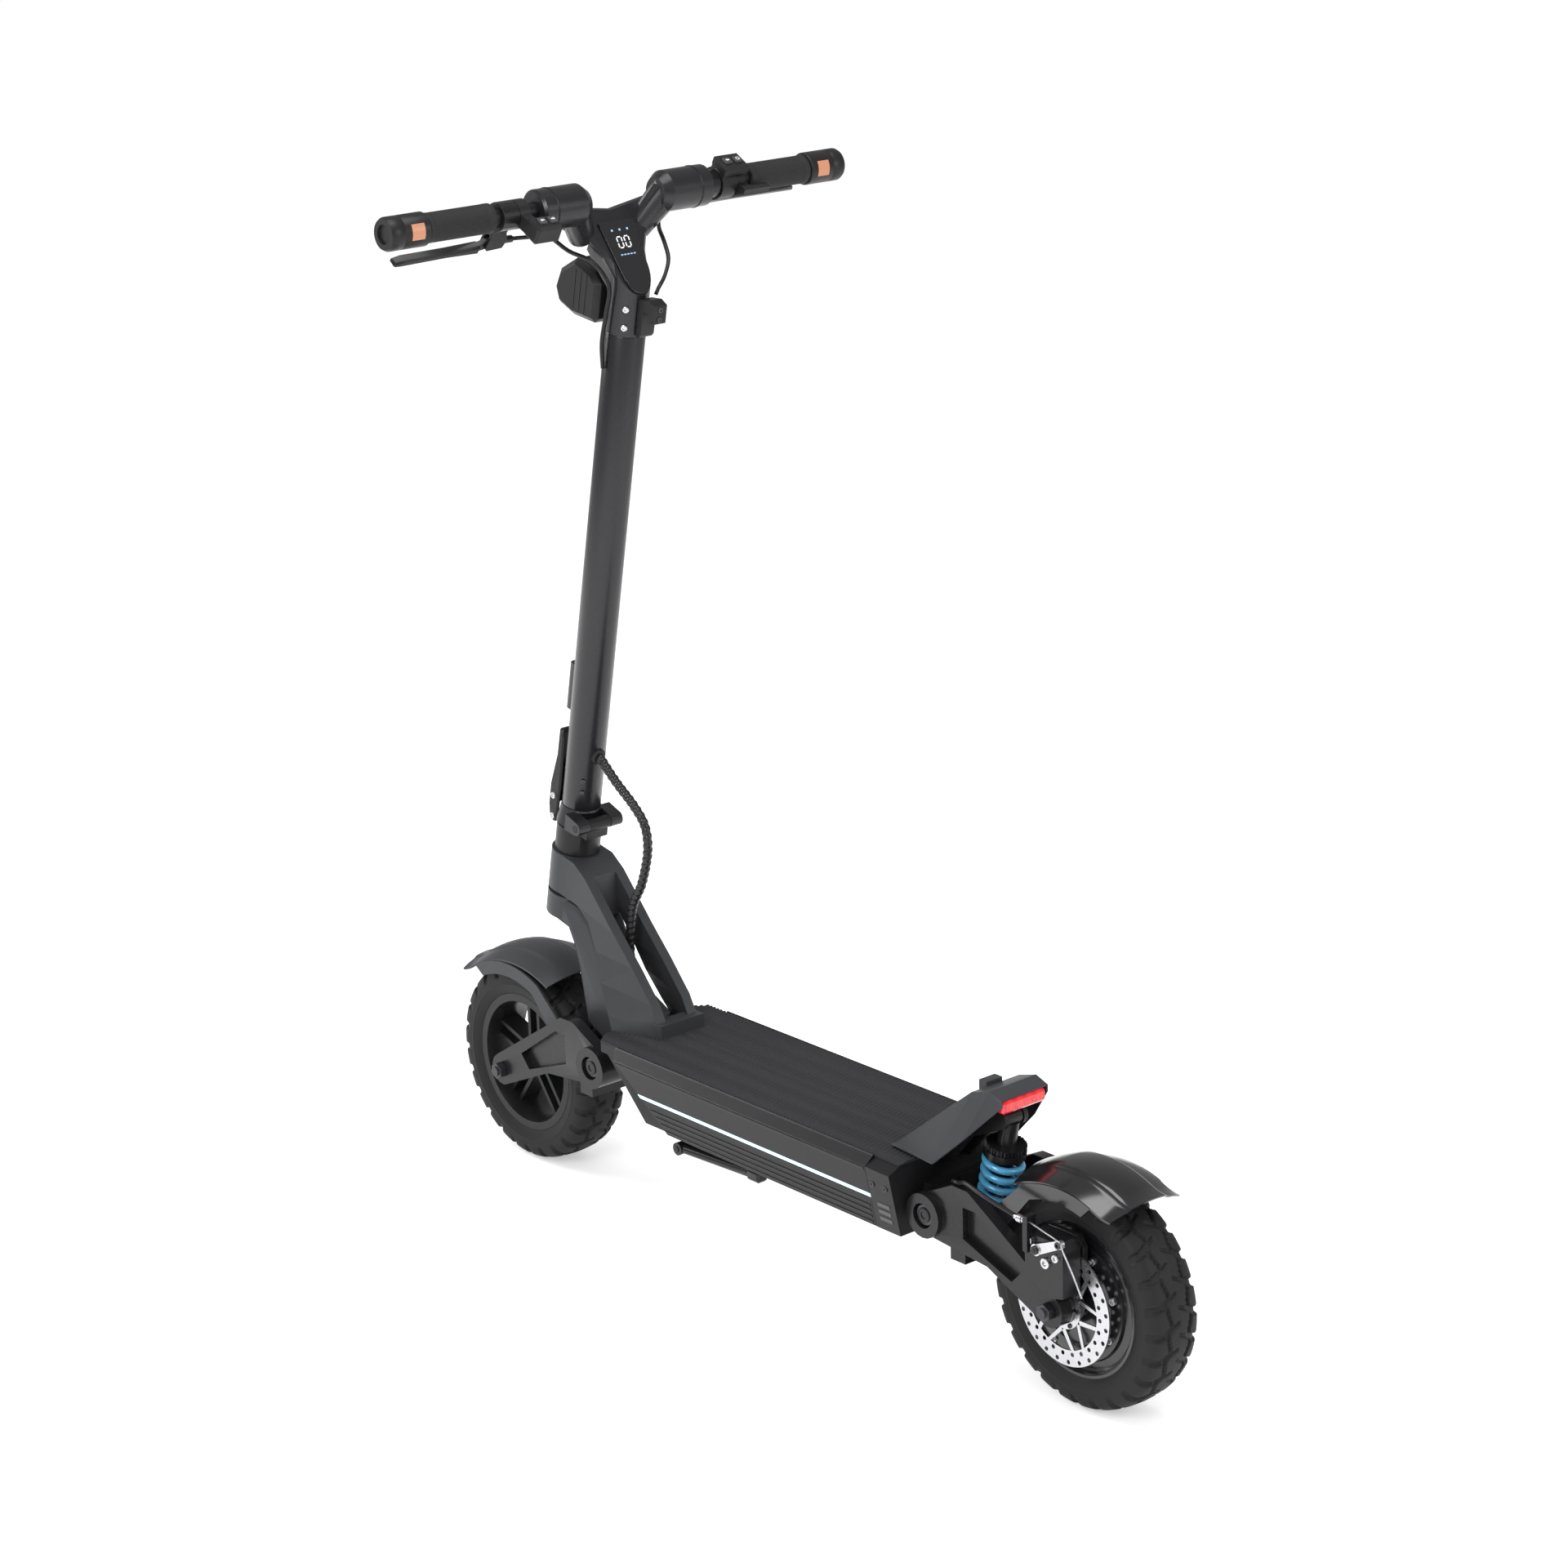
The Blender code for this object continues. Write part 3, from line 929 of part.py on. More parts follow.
for label, side in (("left", 1), ("right", -1)):
    low, high = sorted((side * GRIP_INNER, side * GRIP_OUTER))
    add("grip_" + label, bar_ring(low, high, GRIP_RADIUS, BAR_RADIUS + SEAT_GAP), RUBBER, "stem")
    housing = rod(bar_point(0, side * (GRIP_OUTER + SEAT_GAP), 0), bar_point(0, side * BAR_HALF, 0),
                  BAR_END_RADIUS, 32)
    housing = carved(softened(housing, 0.002), rod(bar_point(0, side * GRIP_INNER, 0),
                                                   bar_point(0, side * (BAR_HALF - 0.0195), 0),
                                                   BAR_RADIUS + SEAT_GAP, 20))
    add("bar_end_" + label, housing, BLACK_PLASTIC, "stem")

# Brake levers, each in a slotted perch: X runs from the bar to the lever and Z along the pin
PERCH_PIN_OUT = 0.040
PERCH_PIN_RADIUS = 0.003
TONGUE_HALF = 0.0030
CHEEK_OUTER = 0.0068
LEVER_TIP = BAR_HALF - 0.0318
levers = [("left", 1, math.radians(50), 0.165, 0.1532, 0.1750),
          ("right", -1, math.radians(30), 0.140, 0.1240, 0.1365)]
for label, side, droop, pin_y, ring_low, ring_high in levers:
    perch_place = Matrix.Translation(BAR) @ Matrix.Rotation(droop, 4, "Y")
    low, high = sorted((side * ring_low, side * ring_high))
    cheeks = [(0.006, ring_low + 0.0008), (0.0225, ring_low + 0.0008), (0.034, pin_y - 0.0170),
              (0.047, pin_y - 0.0150), (0.0485, pin_y + 0.006), (0.045, pin_y + 0.0090),
              (0.034, pin_y + 0.0090),
              (0.0225, ring_high - 0.0008), (0.006, ring_high - 0.0008)]
    cheeks = [(x, side * y) for x, y in cheeks]
    perch = fused(rod((0, low, 0), (0, high, 0), 0.0165, 28, place=perch_place),
                  plate(cheeks, -CHEEK_OUTER, CHEEK_OUTER, perch_place, "Z"))
    slot_low, slot_high = sorted((side * (pin_y - 0.0105), side * (pin_y + 0.05)))
    perch = carved(perch, box((0.0265, slot_low, -TONGUE_HALF - RUN_GAP),
                              (0.09, slot_high, TONGUE_HALF + RUN_GAP),
                              perch_place))
    pin_at = Vector((PERCH_PIN_OUT, side * pin_y, 0.0))
    pin_reach = Vector((0.0, 0.0, CHEEK_OUTER))
    adjuster_from = Vector((0.0415, side * (pin_y - 0.014), 0.0))
    adjuster_to = Vector((0.0415, side * (pin_y - 0.030), 0.0))
    perch = fused(perch, rod(pin_at - pin_reach, pin_at + pin_reach, PERCH_PIN_RADIUS, 16, place=perch_place),
                  rod(adjuster_from, adjuster_to, 0.0042, 16, place=perch_place))
    perch = carved(perch, rod((0, low - 0.01, 0), (0, high + 0.01, 0), BAR_RADIUS + SEAT_GAP, 20,
                              place=perch_place))
    add("brake_perch_" + label, perch, BLACK_METAL, "stem")

    carrier = "brake_lever_" + label
    body(carrier, perch_place @ pin_at, "stem")
    tongue = [(0.0325, pin_y), (0.0475, pin_y), (0.0515, pin_y + 0.020), (0.0440, pin_y + 0.026),
              (0.0405, pin_y + 0.016)]
    blade = [(0.0412, pin_y + 0.0150), (0.0525, pin_y + 0.0150), (0.0515, pin_y + 0.060),
             (0.0535, LEVER_TIP - 0.008),
             (0.0530, LEVER_TIP), (0.0480, LEVER_TIP), (0.0445, LEVER_TIP - 0.012), (0.0435, pin_y + 0.060)]
    tongue = [(x, side * y) for x, y in tongue]
    blade = [(x, side * y) for x, y in blade]
    hub_reach = Vector((0.0, 0.0, TONGUE_HALF))
    lever = fused(rod(pin_at - hub_reach, pin_at + hub_reach, 0.0082, 20, place=perch_place),
                  plate(tongue, -TONGUE_HALF, TONGUE_HALF, perch_place, "Z"),
                  softened(plate(blade, -0.0060, 0.0060, perch_place, "Z"), 0.002, 1, 70))
    lever = carved(lever, rod(pin_at - 2 * pin_reach, pin_at + 2 * pin_reach, PERCH_PIN_RADIUS + RUN_GAP, 16,
                              place=perch_place))
    add("brake_lever_" + label, lever, BLACK_METAL, carrier)

# Switch boxes: keys sink square into pockets in the box's sloping top
KEY_SLOPE = math.radians(-30)
KEY_PROUD = 0.0025
KEY_TRAVEL = 0.0015
KEY_DEPTH = 0.0046
KEY_SLIP = 0.0003
left_box = Matrix.Translation(bar_point(-0.0325, 0.0, -0.015)) @ Matrix.Rotation(KEY_SLOPE, 4, "Y")
right_box = Matrix.Translation(BAR) @ Matrix.Rotation(KEY_SLOPE, 4, "Y")
casing = softened(box((-0.0125, 0.1165, -0.0115), (0.0115, 0.1527, 0.0110), left_box), 0.003)
casing = fused(casing, rod(bar_point(0, 0.1382, 0), bar_point(0, 0.1527, 0), 0.0165, 28),
               box((-0.036, 0.1390, -0.0080), (0.0, 0.1520, 0.0080), Matrix.Translation(BAR)
                   @ Matrix.Rotation(math.radians(-24.8), 4, "Y")))
casing = carved(casing, rod(bar_point(0, 0.10, 0), bar_point(0, 0.20, 0), BAR_RADIUS + SEAT_GAP, 20))
console = fused(rod(bar_point(0, -0.1375, 0), bar_point(0, -0.1585, 0), 0.0190, 32),
                softened(box((-0.0145, -0.1735, 0.0172), (0.0145, -0.1375, 0.0290), right_box), 0.0025),
                box((-0.0120, -0.1575, 0.0), (0.0120, -0.1385, 0.0200), right_box))
console = carved(console, rod(bar_point(0, -0.20, 0), bar_point(0, -0.10, 0), BAR_RADIUS + SEAT_GAP, 20))
keys = [("turn_key_left", "left", left_box, 0.1404, 0.0110),
        ("turn_key_right", "left", left_box, 0.1260, 0.0110),
        ("mode_button", "right", right_box, -0.1475, 0.0290),
        ("power_button", "right", right_box, -0.1625, 0.0290)]
KEY_HALF = 0.0050
for name, label, place, key_y, top in keys:
    pocket_half = KEY_HALF + KEY_SLIP
    pocket = box((-pocket_half, key_y - pocket_half, top - KEY_DEPTH),
                 (pocket_half, key_y + pocket_half, top + 0.01), place)
    if label == "left":
        casing = carved(casing, pocket)
    else:
        console = carved(console, pocket)
    body(name, place @ Vector((0.0, key_y, top)), "stem")
    key = box((-KEY_HALF, key_y - KEY_HALF, top - KEY_DEPTH + KEY_TRAVEL + 0.0003),
              (KEY_HALF, key_y + KEY_HALF, top + KEY_PROUD), place)
    add(name, softened(key, 0.0008), BLACK_PLASTIC, name)
add("switch_box_left", casing, BLACK_PLASTIC, "stem")
add("switch_box_right", console, BLACK_PLASTIC, "stem")

# Thumb throttle on the right, a ring on the bar with a paddle towards the rider
body("throttle", bar_point(0, -0.1665, 0), "stem")
paddle = [(-0.006, -0.0140), (-0.0285, -0.0130), (-0.0320, -0.0075), (-0.0270, -0.0045), (-0.0125, -0.0020)]
paddle = [(BAR.x + x, BAR.z + z) for x, z in paddle]
thumb = [(-0.0205, -0.0135), (-0.0285, -0.0130), (-0.0320, -0.0075), (-0.0270, -0.0045), (-0.0205, -0.0038)]
thumb = [(BAR.x + x, BAR.z + z) for x, z in thumb]
throttle = fused(rod(bar_point(0, -0.1592, 0), bar_point(0, -0.1738, 0), 0.0160, 28),
                 plate(paddle, -0.1738, -0.1592), plate(thumb, -0.1980, -0.1600))
throttle = carved(throttle, rod(bar_point(0, -0.21, 0), bar_point(0, -0.14, 0), BAR_RADIUS + RUN_GAP, 24))
add("throttle_lever", throttle, BLACK_PLASTIC, "throttle")


# Brake cables from the perches to the stem, and the wrapped wiring from the stem to the deck
def head_point(forward, left, up):
    """A place seen from the top of the stem tube."""
    return stem_point(forward, left, STEM_TOP + up)


def panel_point(along, left, out):
    """A place on the head's sloping face: up along it, to the left, and out of it."""
    return PANEL @ Vector((along, left, out))


left_inlet = Matrix.Translation(BAR) @ Matrix.Rotation(levers[0][2], 4, "Y") @ Vector((0.0415, 0.1340, 0.0))
left_route = [left_inlet, left_inlet + Vector((0.0, -0.030, -0.002)), panel_point(0.0930, 0.074, -0.0300),
              panel_point(0.0720, 0.0540, -0.0300), panel_point(0.0490, 0.0395, -0.0140),
              head_point(0.0016, 0.0295, 0.058), head_point(0.0036, 0.0285, 0.023),
              head_point(0.0062, 0.0285, -0.012), head_point(0.0030, 0.0264, -0.042)]
add("brake_cable_left", tube(smooth_route(left_route, 0.007), CABLE_RADIUS, 1), BLACK_PLASTIC, "stem")
right_inlet = Matrix.Translation(BAR) @ Matrix.Rotation(levers[1][2], 4, "Y") @ Vector((0.0415, -0.1090, 0.0))
right_route = [right_inlet, right_inlet + Vector((-0.002, 0.022, -0.010)), head_point(0.0411, -0.070, 0.1030),
               head_point(0.0126, -0.055, 0.0970), head_point(-0.0090, -0.046, 0.0835), head_point(-0.0225,
                   -0.031, 0.069),
               head_point(-0.0325, -0.0150, 0.0605), head_point(-0.0335, -0.0110, 0.0535)]
add("brake_cable_right", tube(smooth_route(right_route, 0.007), CABLE_RADIUS, 1), BLACK_PLASTIC, "stem")

harness_knots = [stem_point(-0.0268, 0.0, 0.1325), (0.3156, 0.0, 0.5258), (0.2813, 0.0, 0.5018),
                 (0.2625, 0.0, 0.4806),
                 (0.2596, 0.0, 0.4495), (0.2728, 0.0, 0.4073), (0.2937, 0.0, 0.3679), (0.3000, 0.0, 0.3000),
                 (NOSE_X + 0.002, 0.0, DECK_TOP + 0.0305), (NOSE_X - 0.016, 0.0, DECK_TOP + 0.0042)]
harness_route = smooth_route(harness_knots, 0.004)
ribs = [1.0 + (HARNESS_RIB / HARNESS_RADIUS if index % 2 else 0.0) for index in range(len(harness_route))]
add("wire_harness", tube(harness_route, HARNESS_RADIUS, 2, ribs), RUBBER, "frame")


# Rear shock: seen from its upper eye, Z runs down to the lower eye
shock_line = SHOCK_FOOT - SHOCK_TOP
SHOCK = Matrix.Translation(SHOCK_TOP) @ Matrix.Rotation(math.atan2(shock_line.x, shock_line.z), 4, "Y")
SHOCK_LENGTH = shock_line.length
SHOCK_TUBE_SHARE = 0.667    # of the room inside the spring
SHOCK_TUBE_RADIUS = SHOCK_TUBE_SHARE * (SPRING_RADIUS - SPRING_WIRE)
SHOCK_ROD_RADIUS = 0.0056
SEAT_RADIUS = SPRING_RADIUS + SPRING_WIRE
UPPER_SEAT = 0.0480
LOWER_SEAT = SHOCK_LENGTH - 0.0285
damper = cross_rod((0.0, 0.0, 0.0), SHOCK_EYE_HALF, SHOCK_EYE_RADIUS, place=SHOCK)
damper = fused(damper, rod((0.0, 0.0, 0.005), (0.0, 0.0, 0.075), SHOCK_TUBE_RADIUS, 28, place=SHOCK),
               rod((0.0, 0.0, UPPER_SEAT - 0.008), (0.0, 0.0, UPPER_SEAT), SEAT_RADIUS - 0.001, 32,
                   place=SHOCK))
damper = carved(damper, rod((0.0, 0.0, 0.026), (0.0, 0.0, 0.09), SHOCK_ROD_RADIUS + RUN_GAP, place=SHOCK),
                cross_rod((0.0, 0.0, 0.0), 0.02, SHOCK_PIN_RADIUS + RUN_GAP, 16, place=SHOCK))
add("shock_body", damper, BLACK_METAL, "shock")
slider = rod((0.0, 0.0, 0.040), (0.0, 0.0, SHOCK_LENGTH - 0.004), SHOCK_ROD_RADIUS, place=SHOCK)
slider = fused(slider, rod((0.0, 0.0, LOWER_SEAT), (0.0, 0.0, LOWER_SEAT + 0.005), SEAT_RADIUS - 0.001, 32,
                           place=SHOCK),
               cross_rod((0.0, 0.0, SHOCK_LENGTH), SHOCK_EYE_HALF, SHOCK_EYE_RADIUS, place=SHOCK))
slider = carved(slider, cross_rod((0.0, 0.0, SHOCK_LENGTH), 0.02, SHOCK_PIN_RADIUS + 0.0025, 16, place=SHOCK))
add("shock_rod", slider, STEEL, "shock_slide")

coil_from = UPPER_SEAT + SPRING_WIRE + SEAT_GAP
coil_to = LOWER_SEAT - SPRING_WIRE - SEAT_GAP
POINTS_PER_TURN = 10
coil_steps = round(SPRING_TURNS * POINTS_PER_TURN)
coil = []
for index in range(coil_steps + 1):
    angle = math.tau * index / POINTS_PER_TURN
    height = coil_from + (coil_to - coil_from) * index / coil_steps
    coil.append(Vector((SPRING_RADIUS * math.cos(angle), SPRING_RADIUS * math.sin(angle), height)))
gaps = [(a - b).length - 2 * SPRING_WIRE for i, a in enumerate(coil) for b in coil[i + POINTS_PER_TURN // 2:]]
print("spring: least gap between curls", round(min(gaps) * 1000, 2), "mm")
first_run = (coil[0] - coil[1]).normalized() * 2 * SPRING_WIRE
last_run = (coil[-1] - coil[-2]).normalized() * 2 * SPRING_WIRE
coil = [coil[0] + Vector((first_run.x, first_run.y, 0.0))] + coil
coil.append(coil[-1] + Vector((last_run.x, last_run.y, 0.0)))
add("shock_spring", tube([SHOCK @ point for point in coil], SPRING_WIRE, 1), SPRING_BLUE, "shock")

# Brake caliper over the disc, its pull arm and the cable along the swing arm
caliper_slope = ARM_BEND_UP - (REAR_AXLE.z - REAR_PIVOT.z + ARM_END_RADIUS * math.sin(math.radians(62)))
caliper_slope /= ARM_REACH + ARM_END_RADIUS * math.cos(math.radians(62)) - ARM_REACH * 0.34


def arm_top(x):
    """Height of the rear arm's upper edge, between its bend and its axle end."""
    return REAR_PIVOT.z + ARM_BEND_UP - caliper_slope * (REAR_PIVOT.x - x - ARM_REACH * 0.34)


CALIPER_FRONT = REAR_AXLE.x + 0.029
CALIPER_REAR = REAR_AXLE.x - 0.028
CALIPER_TOP = REAR_AXLE.z + ROTOR_RADIUS + 0.016
bridge_low = REAR_AXLE.z + ROTOR_RADIUS + 0.003
disc_in = ROTOR_Y - ROTOR_THICKNESS / 2 - 0.0010
disc_out = ROTOR_Y + ROTOR_THICKNESS / 2 + 0.0010
CALIPER_OUTER = disc_out + 0.0265
seat_end = REAR_AXLE.x - 0.0085
caliper_roof = [(CALIPER_FRONT, CALIPER_TOP - 0.006), (CALIPER_FRONT - 0.006, CALIPER_TOP),
                (CALIPER_REAR + 0.008, CALIPER_TOP), (CALIPER_REAR, CALIPER_TOP - 0.010)]
outer_half = caliper_roof + [(CALIPER_REAR, arm_top(seat_end) + 0.006),
                             (seat_end, arm_top(seat_end) + 0.0008),
                             (CALIPER_FRONT, arm_top(CALIPER_FRONT) + 0.0008)]
inner_half = caliper_roof + [(CALIPER_REAR, bridge_low - 0.030), (CALIPER_FRONT, bridge_low - 0.030)]
caliper = fused(plate(outer_half, disc_out, CALIPER_OUTER), plate(inner_half, disc_in - 0.0068, disc_in),
                box((CALIPER_REAR + 0.004, disc_in - 0.005, bridge_low),
                    (CALIPER_FRONT - 0.004, disc_out + 0.005, CALIPER_TOP - 0.0005)))
PULL_PIVOT = Vector((REAR_AXLE.x + 0.008, CALIPER_OUTER + 0.003, REAR_AXLE.z + 0.0715))
PULL_END = Vector((REAR_AXLE.x - 0.0273, CALIPER_OUTER + 0.003, REAR_AXLE.z + 0.0884))
STOP_X = CALIPER_FRONT - 0.011
caliper = fused(caliper, cross_rod(PULL_PIVOT, 0.0062, 0.003, 16),
                box((STOP_X, CALIPER_OUTER - 0.006, CALIPER_TOP - 0.020),
                    (STOP_X + 0.007, CALIPER_OUTER + 0.0075, CALIPER_TOP + 0.021)))
add("brake_caliper", caliper, BLACK_METAL, "rear_arm")
body("caliper_arm", PULL_PIVOT, "rear_arm")
pull_line = (PULL_END - PULL_PIVOT).normalized()
across = Vector((-pull_line.z, 0.0, pull_line.x))
pull_outline = [flat(PULL_PIVOT + across * 0.006), flat(PULL_END + across * 0.0045),
                flat(PULL_END - across * 0.0045), flat(PULL_PIVOT - across * 0.006)]
pull_low = CALIPER_OUTER + 0.0006
pull_high = pull_low + 0.0046
pull_arm = fused(plate(pull_outline, pull_low + 0.0004, pull_high - 0.0004),
                 rod((PULL_PIVOT.x, pull_low, PULL_PIVOT.z),
                     (PULL_PIVOT.x, pull_high, PULL_PIVOT.z), 0.0068, 20),
                 rod((PULL_END.x, pull_low, PULL_END.z), (PULL_END.x, pull_high, PULL_END.z), 0.0050, 16))
pull_arm = carved(pull_arm, cross_rod(PULL_PIVOT, 0.02, 0.003 + RUN_GAP, 16))
add("caliper_arm", pull_arm, STEEL, "caliper_arm")
bend_top = REAR_PIVOT.z + ARM_BEND_UP + CABLE_RADIUS + SEAT_GAP
bend_x = REAR_PIVOT.x - ARM_REACH * 0.21
hose_knots = [(bend_x + 0.004, 0.0640, bend_top), (bend_x - 0.008, 0.0655, bend_top + 0.0010),
              (bend_x - 0.024, 0.0720, bend_top + 0.0085), (bend_x - 0.062, 0.0785, bend_top + 0.0060),
              (STOP_X + 0.022, CALIPER_OUTER + 0.003, CALIPER_TOP + 0.0148),
              (STOP_X + 0.0074, CALIPER_OUTER + 0.003, CALIPER_TOP + 0.0140)]
add("rear_brake_cable", tube(smooth_route(hose_knots, 0.007), CABLE_RADIUS, 1), BLACK_PLASTIC, "rear_arm")

# Kickstand leg on its pin under the deck, folded back along the floor
STAND_RADIUS = 0.006
body("kickstand", STAND_PIVOT, "frame")
stand_foot = STAND_PIVOT + Vector((-0.135, 0.0, 0.0070))
stand = fused(rod((STAND_PIVOT.x, STAND_PIVOT.y - 0.0074, STAND_PIVOT.z),
                  (STAND_PIVOT.x, STAND_PIVOT.y + 0.0074, STAND_PIVOT.z), 0.0078, 24),
              rod(STAND_PIVOT, stand_foot, STAND_RADIUS, 20),
              softened(box(stand_foot - Vector((0.012, 0.008, 0.0070)),
                           stand_foot + Vector((0.010, 0.008, 0.0070))), 0.003))
stand = carved(stand, cross_rod(STAND_PIVOT, 0.02, 0.0035 + RUN_GAP, 16))
add("kickstand_leg", stand, BLACK_METAL, "kickstand")
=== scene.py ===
"""Electric kick scooter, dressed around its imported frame: surfaces and finishes, piece by piece."""
import json
import math

import bmesh
import bpy
import numpy as np
from mathutils import Matrix, Vector


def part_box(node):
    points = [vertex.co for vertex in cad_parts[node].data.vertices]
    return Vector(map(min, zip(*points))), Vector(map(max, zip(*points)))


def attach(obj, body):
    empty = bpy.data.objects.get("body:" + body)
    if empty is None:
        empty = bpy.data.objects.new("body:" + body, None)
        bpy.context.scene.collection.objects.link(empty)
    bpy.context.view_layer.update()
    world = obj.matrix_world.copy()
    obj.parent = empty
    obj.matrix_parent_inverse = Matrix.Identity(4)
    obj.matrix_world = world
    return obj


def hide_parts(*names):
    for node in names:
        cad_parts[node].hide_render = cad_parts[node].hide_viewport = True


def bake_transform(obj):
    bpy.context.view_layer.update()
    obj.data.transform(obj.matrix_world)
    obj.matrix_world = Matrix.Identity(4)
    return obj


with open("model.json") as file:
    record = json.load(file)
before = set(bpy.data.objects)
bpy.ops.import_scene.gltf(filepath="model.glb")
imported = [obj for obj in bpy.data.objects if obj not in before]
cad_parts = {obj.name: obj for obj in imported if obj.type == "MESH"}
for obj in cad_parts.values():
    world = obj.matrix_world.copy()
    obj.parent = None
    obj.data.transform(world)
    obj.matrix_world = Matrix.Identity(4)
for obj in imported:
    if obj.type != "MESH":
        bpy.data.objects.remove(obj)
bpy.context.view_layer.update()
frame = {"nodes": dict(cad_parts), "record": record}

# Studio: a white sweep under broad soft light, seen by a long lens from behind the scooter's left.
# The camera stands where the wheels, deck and bar of the photograph line up with the frame.
def linked(name, data):
    """A new object of the scene that shows this data."""
    made = bpy.data.objects.new(name, data)
    bpy.context.scene.collection.objects.link(made)
    return made


CAMERA_AT = (-3.18452, 2.73689, 1.91991)
CAMERA_FORWARD = (0.723845, -0.620680, -0.301338)
CAMERA_RIGHT = (-0.656694, -0.753745, -0.024923)
CAMERA_UP = (0.211663, -0.215928, 0.953192)
lens = bpy.data.cameras.new("studio_camera")
lens.lens = 89.485
lens.sensor_width = 36.0
camera = linked("studio_camera", lens)
camera_axes = np.column_stack((CAMERA_RIGHT, CAMERA_UP, -np.array(CAMERA_FORWARD), CAMERA_AT))
camera.matrix_world = Matrix(np.vstack((camera_axes, (0.0, 0.0, 0.0, 1.0))).tolist())
bpy.context.scene.camera = camera
bpy.context.scene.view_settings.view_transform = "Standard"


class Shade:
    """A shader socket that takes part in sums: each operator adds one Math node to its tree."""

    def __init__(self, tree, socket=None):
        self.tree = tree
        self.socket = socket

    def make(self, kind, settings=None, sockets=None, out=0):
        """Any node: its type, its settings, then the values or links of its sockets. Gives one output."""
        node = self.tree.nodes.new(kind)
        for key, value in (settings or {}).items():
            setattr(node, key, value)
        for key, value in (sockets or {}).items():
            if isinstance(value, Shade):
                self.tree.links.new(value.socket, node.inputs[key])
            else:
                node.inputs[key].default_value = value
        return Shade(self.tree, node.outputs[out] if node.outputs else None)

    def math(self, operation, first, second=0.0):
        return self.make("ShaderNodeMath", {"operation": operation}, {0: first, 1: second})

    def __add__(self, other):
        return self.math("ADD", self, other)

    def __sub__(self, other):
        return self.math("SUBTRACT", self, other)

    def __mul__(self, other):
        return self.math("MULTIPLY", self, other)

    def blend(self, low, high):
        """A colour from low to high as this value goes from 0 to 1."""
        return self.make("ShaderNodeMix", {"data_type": "RGBA"}, {0: self, 6: low, 7: high}, out=2)

    def surface(self, sockets):
        """The material's own surface: one principled shader, joined to the output."""
        skin = self.make("ShaderNodeBsdfPrincipled", None, sockets)
        self.make("ShaderNodeOutputMaterial", None, {"Surface": skin})


def new_tree(material):
    """An empty node tree of a material or world."""
    material.use_nodes = True
    material.node_tree.nodes.clear()
    return Shade(material.node_tree)


sky = bpy.data.worlds.new("studio_sky")
bpy.context.scene.world = sky
shade = new_tree(sky)
path_camera = shade.make("ShaderNodeLightPath", out="Is Camera Ray")
path_glossy = shade.make("ShaderNodeLightPath", out="Is Glossy Ray")
SKY_LEVEL = 0.80
SKY_IN_GLOSS = 0.36
level = path_camera * (1.0 - SKY_LEVEL) + path_glossy * (SKY_IN_GLOSS - SKY_LEVEL) + SKY_LEVEL
sky_light = shade.make("ShaderNodeBackground", None, {"Color": (1.0, 1.0, 1.0, 1.0), "Strength": level})
shade.make("ShaderNodeOutputWorld", None, {"Surface": sky_light})

FLOOR_REACH = 14.0
floor_mesh = bpy.data.meshes.new("studio_floor")
floor_corners = FLOOR_REACH * np.array([(-1, -1, 0), (1, -1, 0), (1, 1, 0), (-1, 1, 0)])
floor_mesh.from_pydata(floor_corners.tolist(), [], [(0, 1, 2, 3)])
floor = linked("studio_floor", floor_mesh)
paper = bpy.data.materials.new("studio_paper")
shade = new_tree(paper)
paper_matt = shade.make("ShaderNodeBsdfDiffuse", None, {"Color": (0.93, 0.93, 0.93, 1.0)})
paper_glow = shade.make("ShaderNodeEmission", None, {"Color": (1.0, 1.0, 1.0, 1.0), "Strength": 2.0})
floor_seen = shade.make("ShaderNodeLightPath", out="Is Camera Ray")
paper_mix = shade.make("ShaderNodeMixShader", None, {0: floor_seen * 0.2, 1: paper_matt, 2: paper_glow})
shade.make("ShaderNodeOutputMaterial", None, {"Surface": paper_mix})
floor_mesh.materials.append(paper)


def softbox(name, at, aim, size, power):
    """A square area lamp that faces a point."""
    lamp = bpy.data.lights.new(name, "AREA")
    lamp.shape = "SQUARE"
    lamp.size = size
    lamp.energy = power
    holder = linked(name, lamp)
    holder.location = at
    holder.rotation_euler = (Vector(aim) - Vector(at)).to_track_quat("-Z", "Y").to_euler()


softbox("key_left", (-1.2, 3.4, 2.6), (0.0, 0.0, 0.5), 1.8, 80.0)
softbox("top_bank", (-0.4, 0.2, 4.2), (0.0, 0.0, 0.3), 2.4, 85.0)
softbox("front_rim", (3.2, 1.6, 2.2), (0.2, 0.0, 0.6), 1.4, 70.0)
softbox("rear_fill", (-3.6, -1.4, 2.0), (-0.3, 0.0, 0.4), 1.6, 45.0)


# Tyres: two fat tubeless tyres moulded in black rubber, with shoulder blocks and a chevron centre.
# Each is one skin carried round its axle from bead to bead, with the tread grooves sunk into it.
def middle(node):
    """The centre of a CAD node's box."""
    low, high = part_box(node)
    return (np.array(low) + np.array(high)) / 2.0


def full_turn(count):
    """Even angles round one whole turn."""
    return np.linspace(0.0, 2.0 * np.pi, count, endpoint=False)


